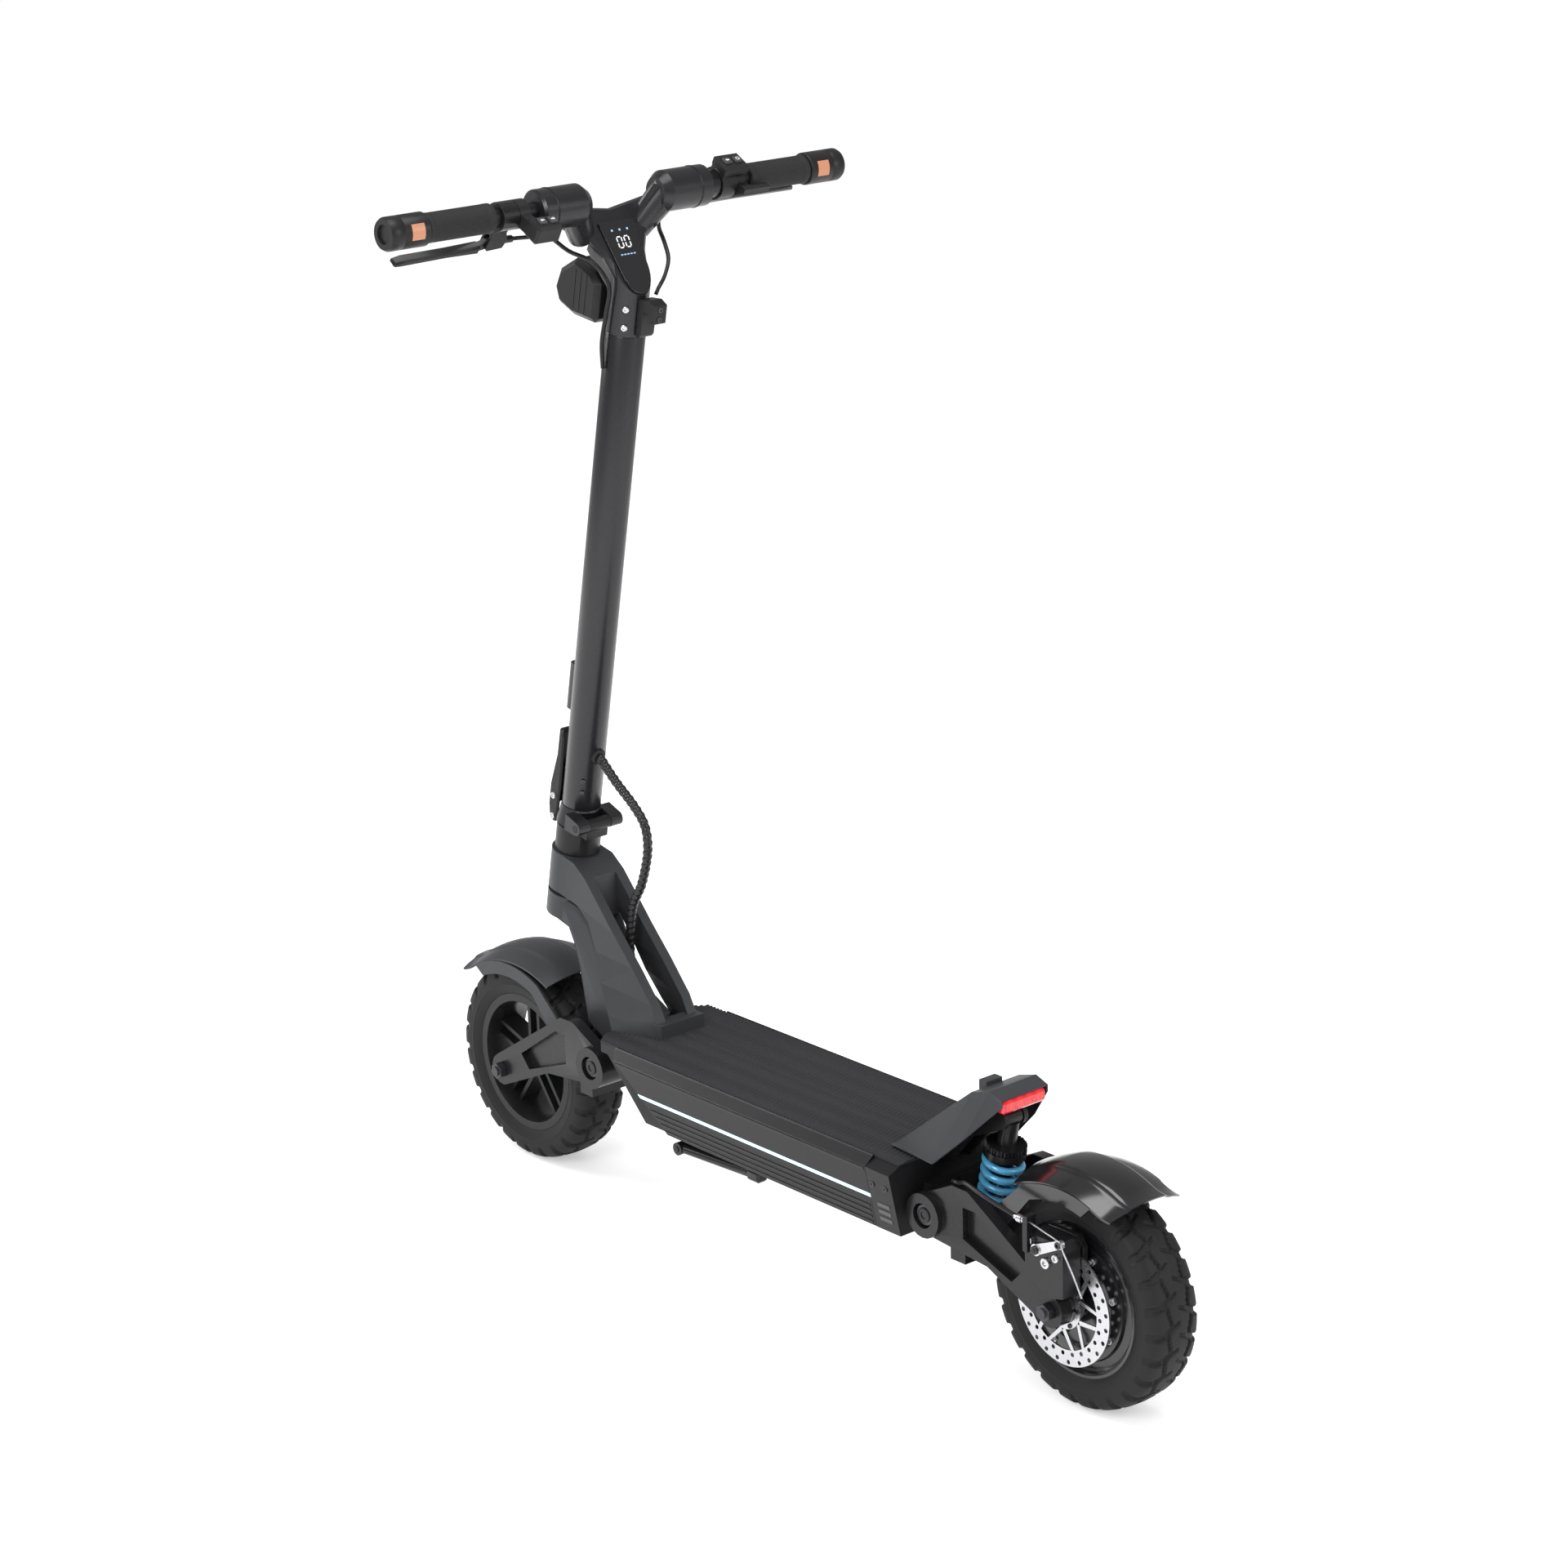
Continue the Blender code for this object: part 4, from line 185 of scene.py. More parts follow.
def grid(points, wrap_rows=False, wrap_columns=False, caps=False):
    """A patch: quads between neighbours of a (rows, columns, 3) grid, closed round or capped where asked."""
    rows, columns = points.shape[:2]
    index = np.arange(rows * columns).reshape(rows, columns)
    ends = [index[0, ::-1].tolist(), index[-1].tolist()] if caps else []
    if wrap_rows:
        index = np.vstack((index, index[:1]))
    if wrap_columns:
        index = np.hstack((index, index[:, :1]))
    quads = np.stack((index[:-1, :-1], index[1:, :-1], index[1:, 1:], index[:-1, 1:]), axis=-1)
    return points.reshape(-1, 3), quads.reshape(-1, 4).tolist() + ends


def finish(name, colour, roughness, metallic=0.0, coat=0.0, mottle=0.12, grain=900.0, tooth=0.00004,
           shine=0.28):
    """A worked surface: its colour drifts with a broad noise, its gloss and its tooth with a fine one."""
    material = bpy.data.materials.new(name)
    shade = new_tree(material)
    place = shade.make("ShaderNodeTexCoord", out="Object")
    broad = shade.make("ShaderNodeTexNoise", None, {"Vector": place, "Scale": 14.0, "Detail": 3.0})
    fine = shade.make("ShaderNodeTexNoise", None, {"Vector": place, "Scale": grain, "Detail": 2.0})
    dark = (*(level * (1.0 - mottle) for level in colour), 1.0)
    light = (*(level * (1.0 + mottle) for level in colour), 1.0)
    bump = shade.make("ShaderNodeBump", None, {"Strength": 0.6, "Distance": tooth, "Height": fine})
    shade.surface({
        "Base Color": broad.blend(dark, light),
        "Roughness": (fine - 0.5) * 0.16 + (broad - 0.5) * 0.1 + roughness,
        "Metallic": metallic, "Specular IOR Level": shine, "Coat Weight": coat, "Coat Roughness": 0.12,
        "Normal": bump})
    return material


def skinned(mesh, work, material, crease):
    """An object of a worked mesh: normals outward, smooth up to the crease angle, in one material."""
    bmesh.ops.recalc_face_normals(work, faces=work.faces)
    work.to_mesh(mesh)
    work.free()
    mesh.shade_smooth()
    mesh.set_sharp_from_angle(angle=math.radians(crease))
    mesh.materials.append(material)
    return linked(mesh.name, mesh)


def piece(name, patches, body, material, replaces=(), crease=38.0):
    """One object from its patches, hung on its body if it has one."""
    counts = np.cumsum([0] + [len(points) for points, _ in patches])
    corners = np.vstack([points for points, _ in patches])
    faces = [[corner + first for corner in face]
             for first, (_, part) in zip(counts, patches) for face in part]
    mesh = bpy.data.meshes.new(name)
    mesh.from_pydata(corners.tolist(), [], faces)
    work = bmesh.new()
    work.from_mesh(mesh)
    bmesh.ops.remove_doubles(work, verts=work.verts, dist=2e-6)
    made = skinned(mesh, work, material, crease)
    if body:
        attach(made, body)
    if replaces:
        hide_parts(*replaces)
    return made


def eased(points, times=2, closed=False):
    """Corner cutting: each pass puts two points on every side, a quarter in from its ends."""
    points = np.asarray(points, dtype=float)
    for _ in range(times):
        following = np.roll(points, -1, axis=0) if closed else points[1:]
        leading = points if closed else points[:-1]
        cut = np.stack((0.75 * leading + 0.25 * following, 0.25 * leading + 0.75 * following), axis=1)
        cut = cut.reshape(-1, points.shape[1])
        points = cut if closed else np.vstack((points[:1], cut, points[-1:]))
    return points


def turned(profile, centre, axis=(0.0, 1.0, 0.0), segments=48, closed=False):
    """A profile of (radius, height) carried round an axis through a centre: the usual lathe surface."""
    profile = np.asarray(profile, dtype=float)
    axis = np.asarray(axis, dtype=float) / np.linalg.norm(axis)
    across = np.cross(axis, (0.0, 0.0, 1.0) if abs(axis[2]) < 0.9 else (1.0, 0.0, 0.0))
    across /= np.linalg.norm(across)
    over = np.cross(axis, across)
    angle = full_turn(segments)
    spoke = np.cos(angle)[:, None] * across + np.sin(angle)[:, None] * over
    points = profile[:, :1, None] * spoke[None] + profile[:, 1:2, None] * axis + np.asarray(centre)
    return grid(points, wrap_rows=closed, wrap_columns=True)


TYRE_BLOCKS = 25
TREAD_DEPTH = 0.0042
TYRE_HALF = [(0.0300, 0.0888), (0.0322, 0.0925), (0.0346, 0.0990), (0.0350, 0.1075), (0.0346, 0.1140),
             (0.0322, 0.1205), (0.0265, 0.1247), (0.0150, 0.1268), (0.0, 0.1275)]


def tyre(centre):
    """Radius over width and angle: a smooth carcass less grooves that slant across and zigzag round it."""
    half = eased(TYRE_HALF, 3)
    section = np.vstack((half * (-1.0, 1.0), half[-2::-1]))
    travel = np.concatenate(([0.0], np.cumsum(np.linalg.norm(np.diff(section, axis=0), axis=1))))
    evenly = np.linspace(0.0, travel[-1], 81)
    across, reach = (np.interp(evenly, travel, section[:, k])[:, None] for k in (0, 1))
    angle = full_turn(TYRE_BLOCKS * 20)[None]
    side = np.abs(across) / 0.035
    phase = angle * TYRE_BLOCKS / (2.0 * np.pi) + np.where(across > 0.0, 0.5, 0.0)
    slant = np.abs((phase + 0.55 * np.clip(side, 0.0, 0.75)) % 1.0 - 0.5)
    zigzag = np.abs(side - 0.36 - 0.13 * np.abs(2.0 * (phase % 1.0) - 1.0))
    wide = np.where(side > 0.42, 0.17, 0.09)
    groove = np.clip((wide - slant) / 0.045, 0.0, 1.0) * np.where(side > 0.42, 1.0, 0.62)
    ring = np.clip((0.085 - zigzag) / 0.03, 0.0, 1.0) * 0.9
    tread = np.clip((reach - 0.1085) / 0.006, 0.0, 1.0)
    rib = 0.0006 * np.exp(-(((reach - 0.1015) / 0.0012) ** 2))
    sunk = TREAD_DEPTH * tread * np.maximum(groove, ring)
    radius = reach - sunk * np.clip((reach - 0.1) / 0.02, 0.35, 1.0)
    width = across + np.sign(across) * (rib - sunk * 0.28 * np.clip((side - 0.7) / 0.3, 0.0, 1.0))
    points = np.stack((centre[0] + radius * np.sin(angle), centre[1] + width + 0.0 * angle,
                       centre[2] + radius * np.cos(angle)), axis=-1)
    bore = [(0.0888, -0.0300), (0.0905, 0.0), (0.0888, 0.0300)]
    return [grid(points, wrap_columns=True), turned(bore, centre, segments=TYRE_BLOCKS * 20)]


rubber = finish("tyre_rubber", (0.012, 0.012, 0.013), 0.55, mottle=0.18, grain=1400.0, tooth=0.00006,
                shine=0.2)
for end in ("front", "rear"):
    piece(f"{end}_tyre_skin", tyre(middle(f"{end}_tyre")), f"{end}_wheel", rubber,
          replaces=(f"{end}_tyre",), crease=30.0)


# Front wheel: a spoked rim cast in aluminium, painted satin black, on a through axle with hex nuts.
# A brass valve stands in the barrel, and the casting's edges are rounded.
BODY_OF = {node: body for body, nodes in frame["record"]["behaviour"]["bodies"].items() for node in nodes}


def dressed(node, material, edge=0.0008, crease=34.0):
    """The CAD node's own skin with its doubles merged, its flats made whole and its edges rounded."""
    work = bmesh.new()
    work.from_mesh(frame["nodes"][node].data)
    bmesh.ops.remove_doubles(work, verts=work.verts, dist=8e-6)
    bmesh.ops.dissolve_limit(work, angle_limit=math.radians(0.6), verts=work.verts, edges=work.edges)
    made = skinned(bpy.data.meshes.new(f"{node}_skin"), work, material, crease)
    if edge:
        bevel = made.modifiers.new("broken_edge", "BEVEL")
        bevel.width = edge
        bevel.segments = 2
        bevel.limit_method = "ANGLE"
        bevel.angle_limit = math.radians(crease)
        bevel.harden_normals = True
    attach(made, BODY_OF[node])
    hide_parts(node)
    return made


def bolt(centre, axis, radius, height):
    """A cap screw seen from outside: rounded head with a socket sunk in its middle, lathed on its axis."""
    profile = np.array([(0.0, 0.35), (0.46, 0.35), (0.50, 1.0), (0.84, 1.0), (0.96, 0.88), (1.0, 0.7),
                        (1.0, -0.4), (0.0, -0.4)]) * (radius, height)
    return turned(profile, centre, axis, 20)


cast_black = finish("cast_black", (0.010, 0.010, 0.011), 0.36, metallic=0.1, mottle=0.15, tooth=0.00003)
dark_steel = finish("dark_steel", (0.07, 0.07, 0.075), 0.36, metallic=0.9, mottle=0.18)
bright_steel = finish("bright_steel", (0.58, 0.58, 0.60), 0.28, metallic=1.0, mottle=0.08, tooth=0.00002)
brass = finish("valve_brass", (0.62, 0.42, 0.16), 0.34, metallic=1.0, mottle=0.1)
front_hub = middle("front_tyre")
rear_hub = middle("rear_tyre")
dressed("front_rim", cast_black, 0.0012)
dressed("front_axle", dark_steel, 0.0006)
dressed("rear_axle", dark_steel, 0.0006)
VALVE_ANGLE = math.radians(205.0)
valve_out = np.array((math.sin(VALVE_ANGLE), 0.0, math.cos(VALVE_ANGLE)))
valve = [(0.0, 0.0), (0.0026, 0.0), (0.0026, 0.006), (0.0034, 0.006), (0.0034, 0.013), (0.0022, 0.0135),
         (0.0022, 0.024), (0.0, 0.024)]
piece("front_valve", [turned(valve, front_hub + valve_out * 0.076, -valve_out, 16)], "front_wheel",
      brass)

# Hub motor: the rear rim is the motor's own shell, pressure-cast and painted gloss black.
# Each cover is held by a ring of bright cap screws round a raised lip.
gloss_black = finish("gloss_black", (0.006, 0.006, 0.007), 0.2, coat=0.5, mottle=0.2, tooth=0.00001,
                     shine=0.5)
MOTOR_SHELL = [(0.0064, 0.0542), (0.0199, 0.0542), (0.0199, 0.0405), (0.0215, 0.0365), (0.0400, 0.0346),
               (0.0440, 0.0352), (0.0470, 0.0352), (0.0490, 0.0338), (0.0600, 0.0326), (0.0690, 0.0290),
               (0.0710, 0.0250), (0.0790, 0.0225), (0.0820, 0.0238), (0.0835, 0.0285), (0.0850, 0.0300),
               (0.0884, 0.0300)]
shell = np.array(MOTOR_SHELL)
shell = np.vstack((shell, shell[::-1] * (1.0, -1.0)))
piece("hub_motor_shell", [turned(shell, rear_hub, segments=96, closed=True)], "rear_wheel",
      gloss_black, replaces=("hub_motor",), crease=28.0)
COVER_SCREW_CIRCLE = 0.0615
screw_turns = np.arange(8) * math.pi / 4.0 + 0.3
cover_screws = [bolt(rear_hub + (COVER_SCREW_CIRCLE * math.sin(turn), side * 0.0318,
                                 COVER_SCREW_CIRCLE * math.cos(turn)), (0.0, side, 0.0), 0.0044, 0.003)
                for turn in screw_turns for side in (-1.0, 1.0)]
piece("motor_cover_screws", cover_screws, "rear_wheel", bright_steel)

# Brake disc: a ground steel band with two staggered rows of drillings on a six-armed carrier.
# Each drilling is a ring of quads in its own field, and the carrier is screwed to the hub.
DISC_Y, DISC_HALF, DISC_OUTER, DISC_INNER = 0.0475, 0.0010, 0.0695, 0.0510
HUB_INNER, HUB_OUTER = 0.0203, 0.0270


def drilled_ring(low, high, cells, hole, offset):
    """A flat ring in cells, each a four-sided field round one hole: quads from field edge to hole edge."""
    share = np.linspace(0.0, 1.0, 5)[:-1]
    edge_turn = np.concatenate((share, np.ones(4), 1.0 - share, np.zeros(4))) - 0.5
    edge_rise = np.concatenate((np.zeros(4), share, np.ones(4), 1.0 - share))
    turn = (np.arange(cells) + offset)[:, None] * 2.0 * np.pi / cells
    field_turn = turn + edge_turn * 2.0 * np.pi / cells
    field_reach = low + (high - low) * edge_rise + 0.0 * turn
    around = np.arctan2(edge_rise - 0.5, edge_turn)
    middle_reach = (low + high) / 2.0
    hole_turn = turn + hole * np.cos(around) / middle_reach
    hole_reach = middle_reach + hole * np.sin(around) + 0.0 * turn
    patches = []
    for cell in range(cells):
        rings = []
        for bend, reach, side in ((field_turn, field_reach, 1.0), (hole_turn, hole_reach, 1.0),
                                  (hole_turn, hole_reach, -1.0), (field_turn, field_reach, -1.0)):
            rings.append(np.stack((reach[cell] * np.sin(bend[cell]), np.full(16, DISC_Y + side * DISC_HALF),
                                   reach[cell] * np.cos(bend[cell])), axis=-1))
        patches.append(grid(rear_hub + np.stack(rings), wrap_columns=True))
    return patches


def prism(outline, first, last):
    """A closed outline of points carried straight from one offset to another, with flat end faces."""
    return grid(outline[None] + np.array((first, last))[:, None], wrap_columns=True, caps=True)


def flat_bar(outline, low, high, centre):
    """A closed outline of (forward, up) between two widths."""
    outline = np.asarray(outline, dtype=float)
    flat = np.stack((outline[:, 0], np.zeros(len(outline)), outline[:, 1]), axis=-1)
    return prism(centre + flat, (0.0, low, 0.0), (0.0, high, 0.0))


disc_mid = (DISC_OUTER + DISC_INNER) / 2.0
DRILLINGS, DRILLING_RADIUS = 24, 0.0026
disc = drilled_ring(DISC_INNER, disc_mid, DRILLINGS, DRILLING_RADIUS, 0.0)
disc += drilled_ring(disc_mid, DISC_OUTER, DRILLINGS, DRILLING_RADIUS, 0.5)
edges = [[(DISC_INNER, DISC_Y - DISC_HALF), (DISC_INNER, DISC_Y + DISC_HALF)],
         [(DISC_OUTER, DISC_Y - DISC_HALF), (DISC_OUTER, DISC_Y + DISC_HALF)]]
disc += [turned(edge, rear_hub, segments=96) for edge in edges]
carrier_ring = [(HUB_INNER, DISC_Y - 0.0014), (HUB_OUTER, DISC_Y - 0.0014), (HUB_OUTER, DISC_Y + 0.0014),
                (HUB_INNER, DISC_Y + 0.0014)]
carrier = [turned(carrier_ring, rear_hub, segments=64, closed=True)]
for arm in range(6):
    for lean in (-0.42, 0.30):
        root = arm * math.pi / 3.0
        tip = root + lean
        heading = np.array((math.cos(root), -math.sin(root)))
        inner_at = 0.0258 * np.array((math.sin(root), math.cos(root)))
        outer_at = 0.0522 * np.array((math.sin(tip), math.cos(tip)))
        spoke_outline = [inner_at - 0.0032 * heading, inner_at + 0.0032 * heading,
                         outer_at + 0.0026 * heading, outer_at - 0.0026 * heading]
        carrier.append(flat_bar(spoke_outline, DISC_Y - 0.0009, DISC_Y + 0.0009, rear_hub))
piece("brake_disc_band", disc, "rear_wheel", bright_steel, replaces=("brake_rotor",),
      crease=30.0)
piece("brake_disc_carrier", carrier, "rear_wheel", bright_steel, crease=30.0)
DISC_SCREW_CIRCLE = 0.0236
disc_screws = [bolt(rear_hub + (DISC_SCREW_CIRCLE * math.sin(turn), DISC_Y + 0.0014,
                                DISC_SCREW_CIRCLE * math.cos(turn)), (0.0, 1.0, 0.0), 0.0028, 0.0014)
               for turn in np.arange(6) * math.pi / 3.0 + 0.5]
piece("brake_disc_screws", disc_screws, "rear_wheel", dark_steel)

# Swing arms: forged legs with a shallow pocket and a round pivot boss, satin black, on steel hinge pins.
# A cap with a round socket closes each end of a pin.
satin_black = finish("satin_black", (0.009, 0.009, 0.010), 0.3, metallic=0.1, coat=0.15, mottle=0.1)
for end, face in (("front", 0.0698), ("rear", 0.0738)):
    dressed(f"{end}_swing_arm", satin_black, 0.0022)
    dressed(f"{end}_pivot_pin", dark_steel, 0.001)
    hinge = middle(f"{end}_pivot_pin")
    caps = [bolt(hinge + (0.0, side * face, 0.0), (0.0, side, 0.0), 0.0088, 0.0016) for side in (-1.0, 1.0)]
    piece(f"{end}_hinge_caps", caps, BODY_OF[f"{end}_pivot_pin"], satin_black)

# Fenders: moulded guards over each tyre on flat stays, the front one in graphite paint, the rear in gloss.
# A centre ridge stiffens the sheet, which falls to its sides.
graphite = finish("graphite_paint", (0.040, 0.041, 0.045), 0.4, metallic=0.25, mottle=0.06, grain=2200.0)


def fender_skin(where, inner, toward, angles, spread, ridge):
    """A sheet over the tyre: radius over angle and width, falling to its sides, raised in the middle."""
    share = np.linspace(0.0, 1.0, 61)[:, None]
    across = np.linspace(-1.0, 1.0, 49)[None]
    angle = np.radians(angles[0] + (angles[1] - angles[0]) * share)
    raised = np.clip((0.56 - np.abs(across)) / 0.10, 0.0, 1.0)
    raised = raised * raised * (3.0 - 2.0 * raised) * np.clip((0.92 - share) / 0.2, 0.0, 1.0)
    kick = 0.006 * np.clip((0.14 - share) / 0.14, 0.0, 1.0) ** 2
    reach = 0.1475 + spread * share ** 2 - 0.012 * across ** 2 + ridge * raised + kick
    half = inner - 0.0015
    points = np.stack((where[0] + toward * reach * np.cos(angle), half * across + 0.0 * angle,
                       where[2] + reach * np.sin(angle)), axis=-1)
    inward = np.stack((-toward * np.cos(angle) + 0.0 * across, 0.0 * across * angle,
                       -np.sin(angle) + 0.0 * across), axis=-1)
    under = points + 0.0026 * inward
    sheet = np.concatenate((points, under[:, ::-1]), axis=1)
    return grid(sheet, wrap_columns=True, caps=False), points, under


def fender(where, pivot_at, inner, toward, angles, spread, ridge):
    """The sheet with its end edges closed, and a flat stay on each side down to the swing arm."""
    sheet, points, under = fender_skin(where, inner, toward, angles, spread, ridge)
    patches = [sheet] + [grid(np.stack((points[row], under[row]))) for row in (0, -1)]
    sweep = np.radians(np.linspace(angles[0] + 12.0, angles[1] - 6.0, 24))
    back = np.radians(np.linspace(angles[1] - 8.0, angles[0] + 16.0, 24))
    upper = np.stack((toward * 0.1355 * np.cos(sweep), 0.1355 * np.sin(sweep)), axis=-1)
    lower = np.stack((toward * 0.1185 * np.cos(back), 0.1185 * np.sin(back)), axis=-1)
    foot_x = pivot_at[0] + toward * abs(where[0] - pivot_at[0]) * 0.46 - where[0]
    foot_z = pivot_at[2] + 0.0138 - where[2]
    foot = np.array(((foot_x - toward * 0.012, foot_z + 0.004), (foot_x + toward * 0.012, foot_z - 0.010)))
    stay = np.vstack((upper, foot, lower))
    for side in (-1.0, 1.0):
        low, high = sorted((side * (inner - 0.0003), side * (inner - 0.0033)))
        patches.append(flat_bar(stay, low, high, where))
    return patches


front_hinge, rear_hinge = middle("front_pivot_pin"), middle("rear_pivot_pin")
front_guard = fender(front_hub, front_hinge, 0.0505, 1.0, (48.0, 122.0), 0.012, 0.0016)
piece("front_fender_skin", front_guard, "front_arm", graphite, replaces=("front_fender",))
rear_guard = fender(rear_hub, rear_hinge, 0.0545, -1.0, (58.0, 120.0), 0.004, 0.0030)
piece("rear_fender_skin", rear_guard, "rear_arm", gloss_black, replaces=("rear_fender",))

# Deck: a die-cast tub painted satin black, with an end casting behind it.
# The battery lies inside the tub, and the mat closes it.
panel_black = finish("panel_black", (0.009, 0.009, 0.010), 0.32, metallic=0.2, mottle=0.12)
wrap = finish("battery_wrap", (0.03, 0.06, 0.12), 0.4)
dressed("deck_chassis", cast_black, 0.001)
dressed("battery_pack", wrap, 0.0)
dressed("rear_pivot_block", cast_black, 0.0012)
TAIL_X = -0.267
MAT_TOP = 0.2348
RAIL_REAR_X = -0.228
RAIL_FRONT_X = 0.222
DECK_BOTTOM = 0.1475
DECK_TOP = 0.2315

# Mat: one sheet of moulded rubber with fine waved ribs across it, so its long edges show a saw-tooth.
# It lies in the frame formed by the rails; the raised word of the real mat is left bare.
mat_rubber = finish("mat_rubber", (0.020, 0.020, 0.022), 0.62, mottle=0.1, tooth=0.00007)
MAT_RIB_PITCH = 0.0062
MAT_RIB_DEPTH = 0.0013
MAT_FLOOR = DECK_TOP + 0.0003
mat_half_at = np.array([(TAIL_X, 0.0843), (0.257, 0.0843), (0.271, 0.0663), (0.273, 0.0551)])
mat_inner_at = np.array([(0.2042, 0.0), (0.2043, 0.0333), (0.273, 0.0549)])
mat_x = np.linspace(TAIL_X, 0.273, 690)
mat_outer = np.interp(mat_x, mat_half_at[:, 0], mat_half_at[:, 1])
mat_inner = np.interp(mat_x, mat_inner_at[:, 0], mat_inner_at[:, 1])
mat_inner = np.where(mat_x < mat_inner_at[0, 0], 0.0, mat_inner)


def mat_half(side):
    """Ribs over length and width: a rounded wave whose crest line itself waves from edge to edge."""
    share = np.linspace(0.0, 1.0, 25)[None]
    across = mat_inner[:, None] + (mat_outer - mat_inner)[:, None] * share
    wave = np.sin(2.0 * np.pi * (mat_x[:, None] / MAT_RIB_PITCH + 0.32 * np.sin(across / 0.0048)))
    top = MAT_TOP - MAT_RIB_DEPTH * np.clip(0.5 - 0.9 * wave, 0.0, 1.0)
    edge = np.zeros((len(mat_x), 1))
    rise = np.concatenate((edge, np.ones((len(mat_x), 25)), edge), axis=1)
    across = np.concatenate((across[:, :1], across, across[:, -1:]), axis=1)
    top = np.concatenate((top[:, :1], top, top[:, -1:]), axis=1)
    height = MAT_FLOOR + (top - MAT_FLOOR) * rise
    points = np.stack((np.broadcast_to(mat_x[:, None], across.shape), side * across, height), axis=-1)
    floor_line = points[:, [0, -1]] * (1.0, 1.0, 0.0) + (0.0, 0.0, MAT_FLOOR)
    return [grid(points, caps=True), grid(floor_line)]


piece("deck_mat_ribs", mat_half(1.0) + mat_half(-1.0), "frame", mat_rubber,
      replaces=("deck_mat",), crease=55.0)

# Side rails: aluminium extrusions with a light bevel along the top, a dark flat panel, the light strip's
# groove and four fine ribs below it. The front end is raked.
rail_bevel = finish("rail_bevel", (0.040, 0.041, 0.044), 0.34, metallic=0.5, mottle=0.06)
RAIL_FACE = np.array(((0.0830, DECK_BOTTOM), (0.1000, 0.2245)))
RAIL_RIBS_AT, RAIL_RIB_HIGH = (0.1500, 0.1572, 0.1644, 0.1716), 0.0034


def rail_out(height):
    """How far out the rail's flat side lies at a height: a straight slope from foot to shoulder."""
    return np.interp(height, RAIL_FACE[:, 1], RAIL_FACE[:, 0])


def along_rail(section, side, lift=0.0):
    """A section of (out, height) carried along the rail, its front end raked back at 45 degrees."""
    section = np.asarray(section, dtype=float)
    front = RAIL_FRONT_X - (DECK_TOP - section[:, 1])
    reach = np.stack((np.full(len(section), RAIL_REAR_X + lift), front - lift), axis=0)
    points = np.stack((reach, np.broadcast_to(side * section[:, 0], reach.shape),
                       np.broadcast_to(section[:, 1], reach.shape)), axis=-1)
    return grid(points, wrap_columns=True, caps=True)


def face_strip(low, high, proud, sunk=0.0012):
    """A thin strip lying on the rail's side between two heights."""
    return [(rail_out(low) - sunk, low), (rail_out(low) + proud, low + proud),
            (rail_out(high) + proud, high - proud), (rail_out(high) - sunk, high)]


for label, side in (("left", 1.0), ("right", -1.0)):
    dressed(f"side_rail_{label}", panel_black, 0.0007)
    ribs = [along_rail(face_strip(low, low + RAIL_RIB_HIGH, 0.0006), side, 0.004) for low in RAIL_RIBS_AT]
    piece(f"rail_ribs_{label}", ribs, "frame", panel_black, crease=25.0)
    bevel = [(0.1001, 0.2242), (0.0867, 0.2346), (0.0867, 0.2335), (0.0990, 0.2240)]
    piece(f"rail_bevel_{label}", [along_rail(bevel, side)], "frame", rail_bevel)
    frame_top = [along_rail(face_strip(0.2188, 0.2236, 0.0005), side, 0.002)]
    piece(f"rail_shoulder_{label}", frame_top, "frame", cast_black)

# Light strips: a clear diffuser pressed into each rail's groove over a row of cyan-white diodes, lit.
# The glow is strongest over each diode and falls off between them.
light_strip = bpy.data.materials.new("light_strip")
shade = new_tree(light_strip)
place = shade.make("ShaderNodeTexCoord", out="Object")
along = shade.make("ShaderNodeSeparateXYZ", None, {0: place})
diode = shade.math("SINE", along * 420.0) * 0.12 + 0.88
glow = diode.blend((0.16, 0.55, 0.72, 1.0), (0.50, 0.92, 1.0, 1.0))
shade.surface({"Base Color": (0.7, 0.9, 0.95, 1.0), "Roughness": 0.3, "Emission Color": glow,
               "Emission Strength": 0.85})
for label in ("left", "right"):
    dressed(f"led_strip_{label}", light_strip, 0.0004)

# Deck fittings: two screws and three vents on each side of the end casting, behind the rail.
# The vents are short dark bars that lie on the casting's side.
VENT_HIGH, VENT_PROUD = 0.005, 0.0004
vents = []
for side in (-1.0, 1.0):
    for low in (0.160, 0.169, 0.178):
        high = low + VENT_HIGH
        bar = np.array([(rail_out(low) + VENT_PROUD, low), (rail_out(high) + VENT_PROUD, high),
                        (rail_out(high) - 0.002, high), (rail_out(low) - 0.002, low)])
        bar = np.stack((np.zeros(4), side * bar[:, 0], bar[:, 1]), axis=-1)
        vents.append(prism(bar, (-0.258, 0.0, 0.0), (-0.238, 0.0, 0.0)))
piece("end_casting_vents", vents, "frame", gloss_black)
end_screws = [bolt((x, side * (rail_out(0.205) + 0.0002), 0.205), (0.0, side, 0.0), 0.0034, 0.0012)
              for x in (-0.236, -0.257) for side in (-1.0, 1.0)]
piece("end_casting_screws", end_screws, "frame", dark_steel)

# Kick plate: a folded and painted plate that rises behind the rider's foot, with a stow tab at its top.
# It stands on the rear of the deck and holds the tail lamp under its edge.
dressed("kick_plate", graphite, 0.0009)

